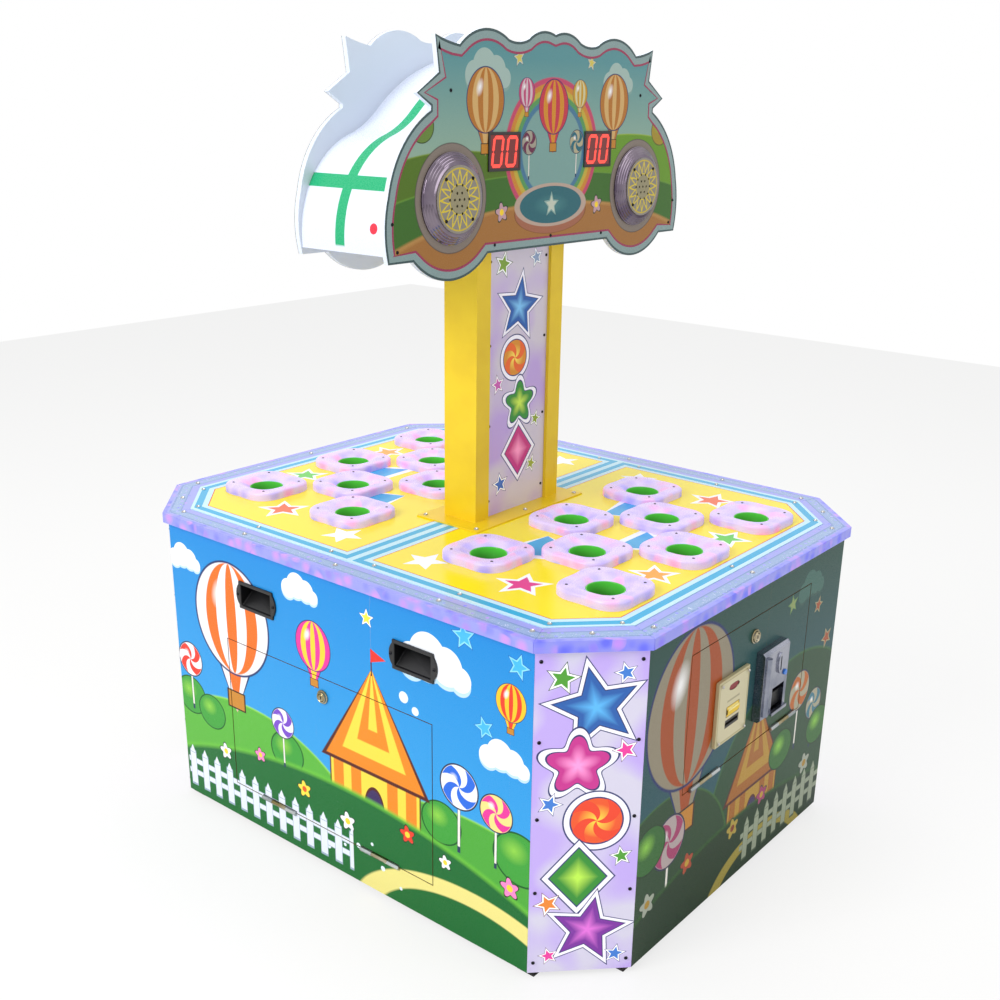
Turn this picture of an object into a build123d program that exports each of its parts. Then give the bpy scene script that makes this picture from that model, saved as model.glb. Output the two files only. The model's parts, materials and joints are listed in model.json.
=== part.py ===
"""Two-player mole pounding arcade machine.

An eight-sided cabinet stands on a low angle-iron base. Its deck holds two playfields of eight holes,
back to back, and in each hole a mole stands on a solenoid. A column between the playfields carries a
header with a printed face, two loudspeakers and two score displays on each side. Each end has a coin
door, and one long side has an access door. Units are millimetres, Z is up, X is the width, Y is the
length, the front player stands at -Y, and the origin is on the floor below the middle.
"""

import os
from math import atan2, cos, degrees, pi, sin, sqrt

from build123d import *

os.makedirs("parts", exist_ok=True)

# General clearances
overrun = 1.0
weld_gap = 0.3
seam = 0.3
run_gap = 0.3
pin_gap = 0.1

# Cabinet
cabinet_width = 1046.0
cabinet_length = 1290.0
corner_cut = 140.0
panel_height = 661.0
panel_thick = 15.0
light_panel_thick = 5.0

# Base and frame
foot_height = 8.0
foot_size = 40.0
angle_thick = 6.0
base_inset = 8.0
base_leg = 50.0
base_upstand = 34.0
top_leg = 55.0
top_drop = 28.0
tube_size = 25.0
tube_wall = 2.0
column_rail_y = 45.0
floor_thick = 12.0

# Deck, rim and holes
deck_thick = 20.0
overlay_thick = 3.0
rim_overhang = 11.0
rim_reach = 45.0
rim_height = 22.0
rim_wall = 4.0
hole_pitch = 274.5
first_row = 192.0
row_step = 141.0
row_shares = ((-1, 0, 1), (-0.5, 0.5), (-1, 0, 1))
cable_hole_width = 180.0
cable_hole_length = 50.0

# Light rings and sleeves
ring_radius = 84.0
ring_lobe = 7.5
ring_height = 18.0
ring_edge = 4.5
dish_radius = 58.0
dish_depth = 10.0
sleeve_inner = 35.0
sleeve_wall = 2.5
sleeve_drop = 85.0

# Corner cuts as a share of the piece's smallest side
corner_share = 0.3

# Numbers of sides of the round pieces that repeat
ring_sides = 16
bore_sides = 8
head_sides = 10
speaker_sides = 20
turned_sides = 12
pin_sides = 8

# Moles and drives
head_radius = 31.0
head_height = 70.0
head_below_field = 8.0
crown_shares = (0.2, 0.14)
crown_tapers = (20.0, 52.0)
mole_travel = 75.0
rod_radius = 6.0
rod_engagement = 25.0
collar_radius = 11.0
collar_height = 6.0
coil_size = 52.0
coil_height = 62.0
coil_below_sleeve = 43.0
tray_thick = 10.0
tray_margin = 45.0

# Carry handles
handle_spread = 444.0
handle_below_top = 106.0
handle_width = 105.0
handle_tall = 61.0
handle_ear = 9.0
handle_ear_tall = 46.0
handle_proud = 4.0
handle_wall = 2.5
pocket_width = 92.0
pocket_tall = 46.0
pocket_depth = 32.0
pocket_back_share = 0.4

# Doors, hinges and locks
door_gap = 2.0
door_relief = 0.3
stop_thick = 3.0
stop_width = 22.0
stop_cover = 8.0
side_door_y = 30.0
side_door_above_base = 85.0
side_door_width = 593.0
side_door_height = 352.0
side_hinge_spread = 306.0
coin_door_below_top = 67.0
coin_door_width = 474.0
coin_door_height = 288.0
coin_hinge_spread = 321.0
hinge_length = 108.0
knuckle_length = 44.0
knuckle_radius = 4.5
pin_radius = 2.0
pivot_out = 1.5
leaf_thick = 1.5
leaf_depth = 13.0
lock_below_top = 40.0
lock_flange_radius = 15.0
lock_flange_thick = 2.5
lock_shank = 20.0
lock_tail = 6.0
plug_radius = 8.0
plug_proud = 1.0
cam_length = 46.0
cam_width = 14.0
cam_thick = 3.0
key_slot_width = 2.0
key_slot_length = 9.0
key_slot_depth = 5.0

# Coin mechanism
mech_x = 70.0
mech_above_sill = 130.0
mech_width = 104.0
mech_tall = 153.0
mech_proud = 20.0
mech_body_width = 88.0
mech_body_tall = 128.0
mech_body_depth = 60.0
bar_radius = 8.0
bar_x = -38.0
bar_tall = 128.0
entry_x = 12.0
entry_z = 38.0
entry_length = 46.0
entry_width = 20.0
entry_proud = 4.0
coin_slot_width = 4.5
coin_slot_length = 30.0
coin_slot_depth = 16.0
button_x = 39.0
button_z = 8.0
button_radius = 6.0
button_length = 14.0
button_proud = 3.0
button_travel = 2.5
cup_x = 16.0
cup_z = -41.0
cup_width = 50.0
cup_tall = 54.0
cup_depth = 46.0
cup_lip = 7.0
flap_drop = 17.0
flap_tall = 32.0
flap_thick = 1.5
flap_back = 8.0
flap_pin_radius = 1.5
flap_pin_seat = 2.5

# Payment plate
plate_x = -81.0
plate_above_sill = 128.0
plate_width = 118.0
plate_tall = 140.0
plate_proud = 8.0
reader_width = 84.0
reader_tall = 96.0
reader_depth = 36.0
window_z = 46.0
window_length = 36.0
window_width = 12.0
window_depth = 1.5
lens_z = -4.0
lens_length = 46.0
lens_width = 11.0
lens_proud = 3.0
slot_z = -30.0
slot_length = 50.0
slot_width = 6.0
slot_depth = 14.0

# Column
column_width = 284.0
column_depth = 88.0
column_sheet = 2.0
column_height = 584.0
flange_width = 371.0
flange_length = 171.0
flange_thick = 3.0
light_width = 198.0
light_recess = 8.0
light_lap = 6.0
column_panel_thick = 5.0

# Header
header_width = 940.0
header_height = 404.0
header_depth = 230.0
face_thick = 10.0
face_drop = 16.0
header_floor_thick = 3.0
roof_thick = 2.5
speaker_x = 298.0
speaker_z = 104.0
lobe_radius = 146.0
bezel_radius = 82.0
bezel_rim = 62.0
bezel_height = 18.0
driver_hole = 50.0
grille_thick = 2.0
grille_radius = 60.0
driver_depth = 45.0
driver_back = 34.0
driver_flange = 5.0
magnet_depth = 18.0
display_x = 150.5
display_z = 183.0
display_width = 94.0
display_tall = 70.0
display_proud = 3.0
display_edge = 2.5
display_depth = 28.0

# Coin boxes and electronics
coin_box_width = 220.0
coin_box_length = 170.0
coin_box_tall = 150.0
coin_box_wall = 2.0
coin_box_from_end = 40.0
supply_size = (110.0, 200.0, 55.0)
control_size = (160.0, 240.0, 40.0)
electronics_from_wall = 120.0
electronics_spacing = 60.0

# Levels
base_top = foot_height + angle_thick
panel_bottom = base_top
panel_top = panel_bottom + panel_height
floor_top = base_top + floor_thick
deck_top = panel_top + deck_thick
field_top = deck_top + overlay_thick
column_bottom = field_top + flange_thick
column_top = column_bottom + column_height
header_floor_top = column_top + header_floor_thick
face_bottom = header_floor_top - face_drop
sleeve_outer = sleeve_inner + sleeve_wall
sleeve_top = field_top + ring_height - dish_depth
sleeve_bottom = sleeve_top - sleeve_drop
coil_top = sleeve_bottom - coil_below_sleeve
tray_top = coil_top - coil_height
tray_bottom = tray_top - tray_thick
head_top = field_top - head_below_field
head_bottom = head_top - head_height
frame_inset = panel_thick + angle_thick
half_width = cabinet_width / 2
half_length = cabinet_length / 2
door_thick = panel_thick - door_relief
handle_height = panel_top - handle_below_top
side_door_bottom = panel_bottom + side_door_above_base
coin_door_bottom = panel_top - coin_door_below_top - coin_door_height
mech_height_centre = coin_door_bottom + mech_above_sill
plate_height_centre = coin_door_bottom + plate_above_sill

# Hole places of the front playfield, and of both playfields
front_places = [
    (share * hole_pitch, -(first_row + row * row_step))
    for row, shares in enumerate(row_shares)
    for share in shares
]
back_places = [(-x, -y) for x, y in front_places]
all_places = front_places + back_places


def octagon(inset):
    """Corners of the cabinet's eight-sided outline, moved inwards; side 0 faces +X, side 6 faces -Y."""
    half_x = half_width - inset
    half_y = half_length - inset
    cut = corner_cut - (2 - sqrt(2)) * inset
    half = [(half_x, cut - half_y), (half_x, half_y - cut), (half_x - cut, half_y), (cut - half_x, half_y)]
    return half + [(-x, -y) for x, y in half]


def strip(side, outer, inner, gap):
    """Corners of one side's band between two insets, its mitred ends drawn in by half a gap each."""
    out = [Vector(x, y) for x, y in octagon(outer)]
    into = [Vector(x, y) for x, y in octagon(inner)]
    after = (side + 1) % len(out)
    draw = (out[after] - out[side]).normalized() * (gap / 2)
    return [out[side] + draw, out[after] - draw, into[after] - draw, into[side] + draw]


def save(shape, name):
    """Label a finished piece and write it as a STEP file."""
    shape.label = name
    export_step(shape, f"parts/{name}.step")


right, corner_1, back, corner_2, left, corner_3, front, corner_4 = range(8)
corners = (corner_1, corner_2, corner_3, corner_4)
turn_left = -90
turn_right = 90
turn_back = 180

# Rubber feet
with BuildPart() as rubber_feet:
    with BuildSketch():
        with Locations(*octagon(base_inset + base_leg / 2)):
            Rectangle(foot_size, foot_size)
    extrude(amount=foot_height)
save(rubber_feet.part, "rubber_feet")

# Cabinet frame: angle-iron base and top rings, corner posts, column rails and tray bearers
post_places = [
    (
        x - (tube_size / 2 + weld_gap) * (1 if x > 0 else -1),
        y - (tube_size / 2 + weld_gap) * (1 if y > 0 else -1),
    )
    for x, y in octagon(frame_inset)
]
post_height = panel_top - angle_thick - weld_gap - floor_top
rail_half = half_width - panel_thick - top_leg - weld_gap
bearer_x = abs(post_places[0][0])
bearer_half = abs(post_places[0][1]) - tube_size / 2 - weld_gap
bearer_centre = tray_bottom - tube_size / 2
with BuildPart() as cabinet_frame:
    for side in range(8):
        with BuildSketch(Plane.XY.offset(foot_height)):
            Polygon(*strip(side, base_inset, base_inset + base_leg, weld_gap), align=None)
        extrude(amount=angle_thick)
        with BuildSketch(Plane.XY.offset(base_top)):
            Polygon(*strip(side, panel_thick, frame_inset, weld_gap), align=None)
        extrude(amount=base_upstand)
        with BuildSketch(Plane.XY.offset(panel_top - angle_thick)):
            Polygon(*strip(side, panel_thick, panel_thick + top_leg, weld_gap), align=None)
        extrude(amount=angle_thick)
        with BuildSketch(Plane.XY.offset(panel_top - angle_thick - top_drop)):
            Polygon(*strip(side, panel_thick, frame_inset, weld_gap), align=None)
        extrude(amount=top_drop)
    with BuildSketch(Plane.XY.offset(floor_top)):
        with Locations(*post_places):
            Rectangle(tube_size, tube_size)
            Rectangle(tube_size - 2 * tube_wall, tube_size - 2 * tube_wall, mode=Mode.SUBTRACT)
    extrude(amount=post_height)
    with BuildSketch(Plane.YZ):
        with Locations(*[(y, panel_top - tube_size / 2) for y in (-column_rail_y, column_rail_y)]):
            Rectangle(tube_size, tube_size)
            Rectangle(tube_size - 2 * tube_wall, tube_size - 2 * tube_wall, mode=Mode.SUBTRACT)
    extrude(amount=rail_half, both=True)
    with BuildSketch(Plane.XZ):
        with Locations(*[(x, bearer_centre) for x in (-bearer_x, bearer_x)]):
            Rectangle(tube_size, tube_size)
            Rectangle(tube_size - 2 * tube_wall, tube_size - 2 * tube_wall, mode=Mode.SUBTRACT)
    extrude(amount=bearer_half, both=True)
save(cabinet_frame.part, "cabinet_frame")

# Floor board
with BuildPart() as floor_board:
    with BuildSketch(Plane.XY.offset(base_top)):
        Polygon(*octagon(frame_inset + run_gap), align=None)
    extrude(amount=floor_thick)
save(floor_board.part, "floor_board")


def hinge_centres(centre, spread):
    """Places of a door's two hinges along its bottom edge."""
    return (centre - spread / 2, centre + spread / 2)


def notched_panel(side, turn, face, doors):
    """A cabinet panel with its door opening, cut to the mitre at both ends.

    doors lists (centre, bottom, width, height, hinge spread) along the panel, seen from outside.
    """
    with BuildPart() as panel:
        with BuildSketch(Plane.XY.offset(panel_bottom)):
            Polygon(*strip(side, 0, panel_thick, seam), align=None)
        extrude(amount=panel_height)
        for centre, bottom, width, height, spread in doors:
            middle = Location((0, 0, 0), (0, 0, turn)) * Location((centre, -face, bottom + height / 2))
            with Locations(middle):
                Box(width + 2 * door_gap, 2 * panel_thick + overrun, height + 2 * door_gap, mode=Mode.SUBTRACT)
            for hinge in hinge_centres(centre, spread):
                notch = Location((0, 0, 0), (0, 0, turn)) * Location((hinge, -face, bottom - door_gap))
                with Locations(notch):
                    Box(hinge_notch_length, 2 * hinge_notch_in, 2 * hinge_notch_rise, mode=Mode.SUBTRACT)
    return panel


# Notches that clear the six-sided knuckles, whose corners reach out by 1 / cos 30 degrees
knuckle_reach = knuckle_radius / cos(pi / 6)
hinge_notch_length = hinge_length + 2 * run_gap
hinge_notch_in = knuckle_reach + run_gap - pivot_out
hinge_notch_rise = knuckle_reach + run_gap - door_gap / 2

side_door = (-side_door_y, side_door_bottom, side_door_width, side_door_height, side_hinge_spread)
coin_door = (0.0, coin_door_bottom, coin_door_width, coin_door_height, coin_hinge_spread)
handle_places = [(u, handle_height) for u in (-handle_spread / 2, handle_spread / 2)]
handle_hole_width = pocket_width + 2 * handle_wall + 2 * run_gap
handle_hole_tall = pocket_tall + 2 * handle_wall + 2 * run_gap

# Long side panels
for name, side, turn, doors in (
    ("left_side_panel", left, turn_left, [side_door]),
    ("right_side_panel", right, turn_right, []),
):
    with BuildPart() as side_panel:
        add(notched_panel(side, turn, half_width, doors).part)
        for u, z in handle_places:
            with Locations(Location((0, 0, 0), (0, 0, turn)) * Location((u, -half_width, z))):
                Box(handle_hole_width, 2 * panel_thick + overrun, handle_hole_tall, mode=Mode.SUBTRACT)
    save(side_panel.part, name)

# End panels
with BuildPart() as end_panels:
    add(notched_panel(front, 0, half_length, [coin_door]).part)
    add(notched_panel(back, turn_back, half_length, [coin_door]).part)
save(end_panels.part, "end_panels")

# Corner light panels
with BuildPart() as corner_light_panels:
    with BuildSketch(Plane.XY.offset(panel_bottom)):
        for side in corners:
            Polygon(*strip(side, 0, light_panel_thick, seam), align=None)
    extrude(amount=panel_height)
save(corner_light_panels.part, "corner_light_panels")

# Rim strips: hollow clear channels that hold the lamps
with BuildPart() as rim_strips:
    with BuildSketch(Plane.XY.offset(panel_top)):
        for side in range(8):
            Polygon(*strip(side, -rim_overhang, rim_reach, seam), align=None)
    extrude(amount=rim_height)
    with BuildSketch(Plane.XY.offset(panel_top + rim_wall)):
        for side in range(8):
            Polygon(*strip(side, rim_wall - rim_overhang, rim_reach - rim_wall, -seam), align=None)
    extrude(amount=rim_height - 2 * rim_wall, mode=Mode.SUBTRACT)
save(rim_strips.part, "rim_strips")


def deck_sheet(bottom, thick):
    """Both halves of a deck layer, with cut-outs for the sleeves and a slot for the cables."""
    with BuildPart() as sheet:
        with BuildSketch(Plane.XY.offset(bottom)):
            Polygon(*octagon(rim_reach + run_gap), align=None)
            Rectangle(cabinet_width, seam, mode=Mode.SUBTRACT)
            Rectangle(cable_hole_width, cable_hole_length, mode=Mode.SUBTRACT)
            with Locations(*all_places):
                RegularPolygon(
                    sleeve_outer + run_gap,
                    side_count=bore_sides,
                    major_radius=False,
                    mode=Mode.SUBTRACT,
                )
        extrude(amount=thick)
    return sheet


save(deck_sheet(panel_top, deck_thick).part, "deck_boards")
save(deck_sheet(deck_top, overlay_thick).part, "playfield_overlays")


# Sleeves that line the holes
with BuildPart() as hole_sleeves:
    with BuildSketch(Plane.XY.offset(sleeve_bottom)):
        with Locations(*all_places):
            RegularPolygon(sleeve_outer, side_count=bore_sides, major_radius=False)
            RegularPolygon(sleeve_inner, side_count=bore_sides, major_radius=False, mode=Mode.SUBTRACT)
    extrude(amount=sleeve_drop)
save(hole_sleeves.part, "hole_sleeves")


# Light rings round the holes: four soft lobes towards the corners, and a dish down to the sleeve
def lobed():
    """The ring's outline, whose radius swings out at the four diagonals."""
    angles = [2 * pi * step / ring_sides for step in range(ring_sides)]
    radii = [ring_radius - ring_lobe * cos(4 * angle) for angle in angles]
    return [(radius * cos(angle), radius * sin(angle)) for radius, angle in zip(radii, angles)]


ring_bore = sleeve_outer + run_gap
with BuildPart() as one_ring:
    with BuildSketch(Plane.XY.offset(field_top)):
        Polygon(*lobed(), align=None)
        RegularPolygon(ring_bore, side_count=bore_sides, major_radius=False, mode=Mode.SUBTRACT)
    extrude(amount=ring_height)
    chamfer(one_ring.faces().sort_by(Axis.Z)[-1].outer_wire().edges(), ring_edge)
    dish_edges = one_ring.faces().sort_by(Axis.Z)[-1].inner_wires()[0].edges()
    chamfer(dish_edges, dish_radius - ring_bore, dish_depth)
with BuildPart() as light_rings:
    with Locations(*all_places):
        add(one_ring.part)
save(light_rings.part, "light_rings")

# Trays that carry the drives on the bearers
tray_near = first_row - coil_size / 2 - tray_margin
tray_far = first_row + 2 * row_step + coil_size / 2
tray_half = half_width - frame_inset - run_gap
with BuildPart() as drive_trays:
    with BuildSketch(Plane.XY.offset(tray_bottom)):
        with Locations(*[(0, y) for y in (-(tray_near + tray_far) / 2, (tray_near + tray_far) / 2)]):
            Rectangle(2 * (bearer_x + tube_size / 2), tray_far - tray_near)
        with Locations(*[(x, y) for x, y in post_places if abs(y) < tray_far]):
            Rectangle(tube_size + 2 * run_gap, tube_size + 2 * run_gap, mode=Mode.SUBTRACT)
        with Locations(*all_places):
            RegularPolygon(rod_radius + 2 * run_gap, side_count=6, mode=Mode.SUBTRACT)
    extrude(amount=tray_thick)
save(drive_trays.part, "drive_trays")

# Solenoid coils, whose six-sided bushes keep the moles from turning
with BuildPart() as solenoid_coils:
    with BuildSketch(Plane.XY.offset(tray_top)):
        with Locations(*all_places):
            Rectangle(coil_size, coil_size)
            RegularPolygon(rod_radius + run_gap, side_count=6, mode=Mode.SUBTRACT)
    extrude(amount=coil_height)
save(solenoid_coils.part, "solenoid_coils")


# Moles at rest in their sleeves: a domed head on a six-sided rod, with a collar that stands on the coil.
# The dome is two tapered bands, whose heights are shares of the head's.
rod_tail = mole_travel + rod_engagement
with BuildPart() as mole:
    with BuildSketch(Plane.XY.offset(coil_top - rod_tail)):
        RegularPolygon(rod_radius, side_count=6)
    extrude(amount=head_bottom - coil_top + rod_tail)
    with BuildSketch(Plane.XY.offset(coil_top + run_gap)):
        RegularPolygon(collar_radius, side_count=6)
    extrude(amount=collar_height)
    with BuildSketch(Plane.XY.offset(head_bottom)):
        RegularPolygon(head_radius, side_count=head_sides)
    extrude(amount=head_height * (1 - sum(crown_shares)))
    for crown_share, taper in zip(crown_shares, crown_tapers):
        extrude(mole.faces().sort_by(Axis.Z)[-1], amount=head_height * crown_share, taper=taper)
for field, places in (("front", front_places), ("back", back_places)):
    for number, (x, y) in enumerate(places, start=1):
        save(mole.part.moved(Location((x, y, 0))), f"mole_{field}_{number}")

# Column shell: two folded yellow channels on one welded flange
lip_centre = light_width / 2 + column_sheet / 2
with BuildPart() as column_shell:
    with BuildSketch(Plane.XY.offset(field_top)):
        Rectangle(flange_width, flange_length)
        Rectangle(cable_hole_width, cable_hole_length, mode=Mode.SUBTRACT)
    extrude(amount=flange_thick)
    with BuildSketch(Plane.XY.offset(column_bottom)):
        Rectangle(column_width, column_depth)
        Rectangle(column_width - 2 * column_sheet, column_depth - 2 * column_sheet, mode=Mode.SUBTRACT)
        Rectangle(light_width, column_depth, mode=Mode.SUBTRACT)
        with GridLocations(2 * lip_centre, column_depth - light_recess, 2, 2):
            Rectangle(column_sheet, light_recess)
    extrude(amount=column_height)
save(column_shell.part, "column_shell")

# Column light panels, which sit behind the folded lips
panel_y = column_depth / 2 - light_recess - column_panel_thick / 2
with BuildPart() as column_light_panels:
    with BuildSketch(Plane.XY.offset(column_bottom)):
        with Locations((0, -panel_y), (0, panel_y)):
            Rectangle(light_width + 2 * light_lap, column_panel_thick)
    extrude(amount=column_height)
save(column_light_panels.part, "column_light_panels")

# Header
#
# Both faces share one outline: a straight foot, a round lobe below each loudspeaker, bowed sides, two
# pointed ears a side and three soft crests. Its points are shares of the half width and of the height.
panel_gap_half = header_depth / 2 - face_thick


def at(width_share, height_share):
    """A point of the header's outline in its own upright plane."""
    return (width_share * header_width / 2, face_bottom + height_share * header_height)


speakers = [(-speaker_x, face_bottom + speaker_z), (speaker_x, face_bottom + speaker_z)]
displays = [(-display_x, face_bottom + display_z), (display_x, face_bottom + display_z)]
with BuildPart() as front_face:
    with BuildSketch(Plane.XZ.offset(panel_gap_half)):
        with BuildLine():
            Polyline(at(0, 0), at(0.985, 0))
            ThreePointArc(at(0.985, 0), at(1, 0.156), at(0.981, 0.282))
            ThreePointArc(at(0.981, 0.282), at(0.915, 0.465), at(0.747, 0.631))
            Polyline(at(0.747, 0.631), at(0.747, 0.649), at(0.823, 0.7), at(0.704, 0.785), at(0.723, 0.936))
            ThreePointArc(at(0.723, 0.936), at(0.651, 0.913), at(0.589, 0.901))
            ThreePointArc(at(0.589, 0.901), at(0.45, 0.974), at(0.298, 0.936))
            ThreePointArc(at(0.298, 0.936), at(0.238, 0.928), at(0.174, 0.943))
            ThreePointArc(at(0.174, 0.943), at(0.081, 0.983), at(0, 0.97))
            Line(at(0, 0.97), at(0, 0))
        make_face()
        mirror(about=Plane.YZ)
        with Locations(*speakers):
            Circle(lobe_radius)
            RegularPolygon(driver_hole, side_count=turned_sides, mode=Mode.SUBTRACT)
        with Locations(*displays):
            Rectangle(
                display_width - 2 * display_edge + 2 * run_gap,
                display_tall - 2 * display_edge + 2 * run_gap,
                mode=Mode.SUBTRACT,
            )
    extrude(amount=face_thick)
with BuildPart() as header_face_panels:
    add(front_face.part)
    add(front_face.part.rotate(Axis.Z, turn_back))
save(header_face_panels.part, "header_face_panels")

# Header floor, which closes the header and stands on the column
roof_foot_share = 0.985
with BuildPart() as header_floor:
    with BuildSketch(Plane.XY.offset(column_top)):
        Rectangle(roof_foot_share * header_width, 2 * panel_gap_half)
    extrude(amount=header_floor_thick)
save(header_floor.part, "header_floor")

# Roof cover: one white sheet over a shouldered profile, between the two faces
with BuildPart() as roof_cover:
    with BuildSketch(Plane.XZ):
        foot = (roof_foot_share * header_width / 2, header_floor_top)
        with BuildLine():
            ThreePointArc(foot, at(0.932, 0.317), at(0.723, 0.517))
            ThreePointArc(at(0.723, 0.517), at(0.643, 0.557), at(0.557, 0.631))
            ThreePointArc(at(0.557, 0.631), at(0.319, 0.804), at(0, 0.874))
            Polyline(at(0, 0.874), (0, header_floor_top), foot)
        make_face()
        mirror(about=Plane.YZ)
        offset(amount=-roof_thick, mode=Mode.SUBTRACT)
        with Locations((0, header_floor_top + roof_thick / 2)):
            Rectangle(roof_foot_share * header_width - 2 * roof_thick, roof_thick + overrun, mode=Mode.SUBTRACT)
    extrude(amount=panel_gap_half, both=True)
save(roof_cover.part, "roof_cover")

# Loudspeakers: a raised conical bezel, a perforated disc on it, and the driver behind the face
face_front = header_depth / 2
speaker_spots = [
    Location((0, 0, 0), (0, 0, turn)) * Location((x, 0, face_bottom + speaker_z), (90, 0, 0))
    for turn in (0, turn_back)
    for x in (-speaker_x, speaker_x)
]
bezel_taper = degrees(atan2(bezel_radius - bezel_rim, bezel_height))
with BuildPart() as one_bezel:
    with BuildSketch(Plane.XY.offset(face_front)):
        RegularPolygon(bezel_radius, side_count=speaker_sides)
    extrude(amount=bezel_height, taper=bezel_taper)
    with BuildSketch(Plane.XY.offset(face_front)):
        RegularPolygon(driver_hole, side_count=turned_sides)
    extrude(amount=bezel_height, mode=Mode.SUBTRACT)
with BuildPart() as one_grille:
    with BuildSketch(Plane.XY.offset(face_front + bezel_height)):
        RegularPolygon(grille_radius, side_count=speaker_sides)
    extrude(amount=grille_thick)
with BuildPart() as one_driver:
    with BuildSketch(Plane(origin=(0, 0, panel_gap_half), z_dir=(0, 0, -1))):
        RegularPolygon(bezel_rim, side_count=turned_sides)
    extrude(amount=driver_depth)
    basket_edges = one_driver.faces().sort_by(Axis.Z)[0].edges()
    chamfer(basket_edges, bezel_rim - driver_back, driver_depth - driver_flange)
    extrude(one_driver.faces().sort_by(Axis.Z)[0], amount=magnet_depth)
for name, piece in (
    ("speaker_bezels", one_bezel),
    ("speaker_grilles", one_grille),
    ("speaker_drivers", one_driver),
):
    with BuildPart() as speaker_set:
        with Locations(*speaker_spots):
            add(piece.part)
    save(speaker_set.part, name)

# Score displays: a bezel frame proud of the face and a body through it
with BuildPart() as score_displays:
    for turn in (0, turn_back):
        for x in (-display_x, display_x):
            spot = Location((0, 0, 0), (0, 0, turn)) * Location((x, 0, face_bottom + display_z), (90, 0, 0))
            with Locations(spot * Location((0, 0, face_front + display_proud / 2))):
                Box(display_width, display_tall, display_proud)
            with Locations(spot * Location((0, 0, face_front - display_depth / 2))):
                Box(display_width - 2 * display_edge, display_tall - 2 * display_edge, display_depth)
            with Locations(spot * Location((0, 0, face_front + display_proud))):
                Box(
                    display_width - 4 * display_edge,
                    display_tall - 4 * display_edge,
                    display_proud,
                    mode=Mode.SUBTRACT,
                )
save(score_displays.part, "score_displays")

# Carry handles: a flange with rounded ears, and a pocket whose floor slopes up inwards
half_w = handle_width / 2
half_t = handle_tall / 2
half_e = handle_ear_tall / 2
with BuildPart() as one_handle:
    with BuildSketch(Plane.XZ.offset(half_width)):
        with BuildLine():
            Polyline((half_w, half_e), (half_w, half_t), (-half_w, half_t), (-half_w, half_e))
            ThreePointArc((-half_w, half_e), (-half_w - handle_ear, 0), (-half_w, -half_e))
            Polyline((-half_w, -half_e), (-half_w, -half_t), (half_w, -half_t), (half_w, -half_e))
            ThreePointArc((half_w, -half_e), (half_w + handle_ear, 0), (half_w, half_e))
        make_face()
    extrude(amount=handle_proud)
    with BuildSketch(Plane.XZ.offset(half_width)):
        Rectangle(pocket_width + 2 * handle_wall, pocket_tall + 2 * handle_wall)
    extrude(amount=-pocket_depth - handle_wall)
    with BuildSketch(Plane.YZ):
        Polygon(
            (-half_width - handle_proud, -pocket_tall / 2),
            (-half_width, -pocket_tall / 2),
            (pocket_depth - half_width, pocket_tall * (1 / 2 - pocket_back_share)),
            (pocket_depth - half_width, pocket_tall / 2),
            (-half_width - handle_proud, pocket_tall / 2),
            align=None,
        )
    extrude(amount=pocket_width / 2, both=True, mode=Mode.SUBTRACT)
with BuildPart() as carry_handles:
    for turn in (turn_left, turn_right):
        with Locations(*[Location((0, 0, 0), (0, 0, turn)) * Location((u, 0, z)) for u, z in handle_places]):
            add(one_handle.part)
save(carry_handles.part, "carry_handles")


def lock_place(door):
    """The middle of a door's lock, as a place along the door and a height."""
    centre, bottom, width, height, spread = door
    return (centre, bottom + height - lock_below_top)


def door_leaf(face, door, cut_outs):
    """A door facing -Y, with notches for its knuckles, a lock hole, and cut-outs (u, z, width, height)."""
    centre, bottom, width, height, spread = door
    lock_u, lock_z = lock_place(door)
    with BuildPart() as leaf:
        with Locations((centre, door_thick / 2 - face, bottom + height / 2)):
            Box(width, door_thick, height)
        with Locations(*[(u, -face, bottom) for u in hinge_centres(centre, spread)]):
            Box(hinge_notch_length, 2 * hinge_notch_in, 2 * hinge_notch_rise, mode=Mode.SUBTRACT)
        with Locations((lock_u, -face, lock_z)):
            Box(lock_shank + 2 * seam, 2 * panel_thick + overrun, lock_shank + 2 * seam, mode=Mode.SUBTRACT)
        for u, z, cut_width, cut_height in cut_outs:
            with Locations((u, -face, z)):
                Box(cut_width, 2 * panel_thick + overrun, cut_height, mode=Mode.SUBTRACT)
    return leaf.part


def door_hardware(face, door):
    """What the door carries: the moving half of each hinge and the case of its lock."""
    centre, bottom, width, height, spread = door
    lock_u, lock_z = lock_place(door)
    pivot_y = -face - pivot_out
    pivot_z = bottom - door_gap / 2
    with BuildPart() as hardware:
        for u in hinge_centres(centre, spread):
            with BuildSketch(Plane.YZ.offset(u - knuckle_length / 2)):
                with Locations((pivot_y, pivot_z)):
                    RegularPolygon(knuckle_radius, side_count=6, major_radius=False)
            extrude(amount=knuckle_length)
            with Locations((u, pivot_y + leaf_depth / 2, bottom - leaf_thick / 2)):
                Box(knuckle_length, leaf_depth, leaf_thick)
            with BuildSketch(Plane.YZ.offset(u)):
                with Locations((pivot_y, pivot_z)):
                    RegularPolygon(pin_radius + pin_gap, side_count=pin_sides, major_radius=False)
            extrude(amount=knuckle_length, both=True, mode=Mode.SUBTRACT)
        with BuildSketch(Plane.XZ.offset(face)):
            with Locations((lock_u, lock_z)):
                RegularPolygon(lock_flange_radius, side_count=turned_sides)
        extrude(amount=lock_flange_thick)
        with Locations((lock_u, (door_thick + lock_tail) / 2 - face, lock_z)):
            Box(lock_shank, door_thick + lock_tail, lock_shank)
        with BuildSketch(Plane.XZ.offset(face)):
            with Locations((lock_u, lock_z)):
                RegularPolygon(plug_radius + pin_gap, side_count=turned_sides, major_radius=False)
        extrude(amount=2 * panel_thick, both=True, mode=Mode.SUBTRACT)
    return hardware.part


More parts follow.
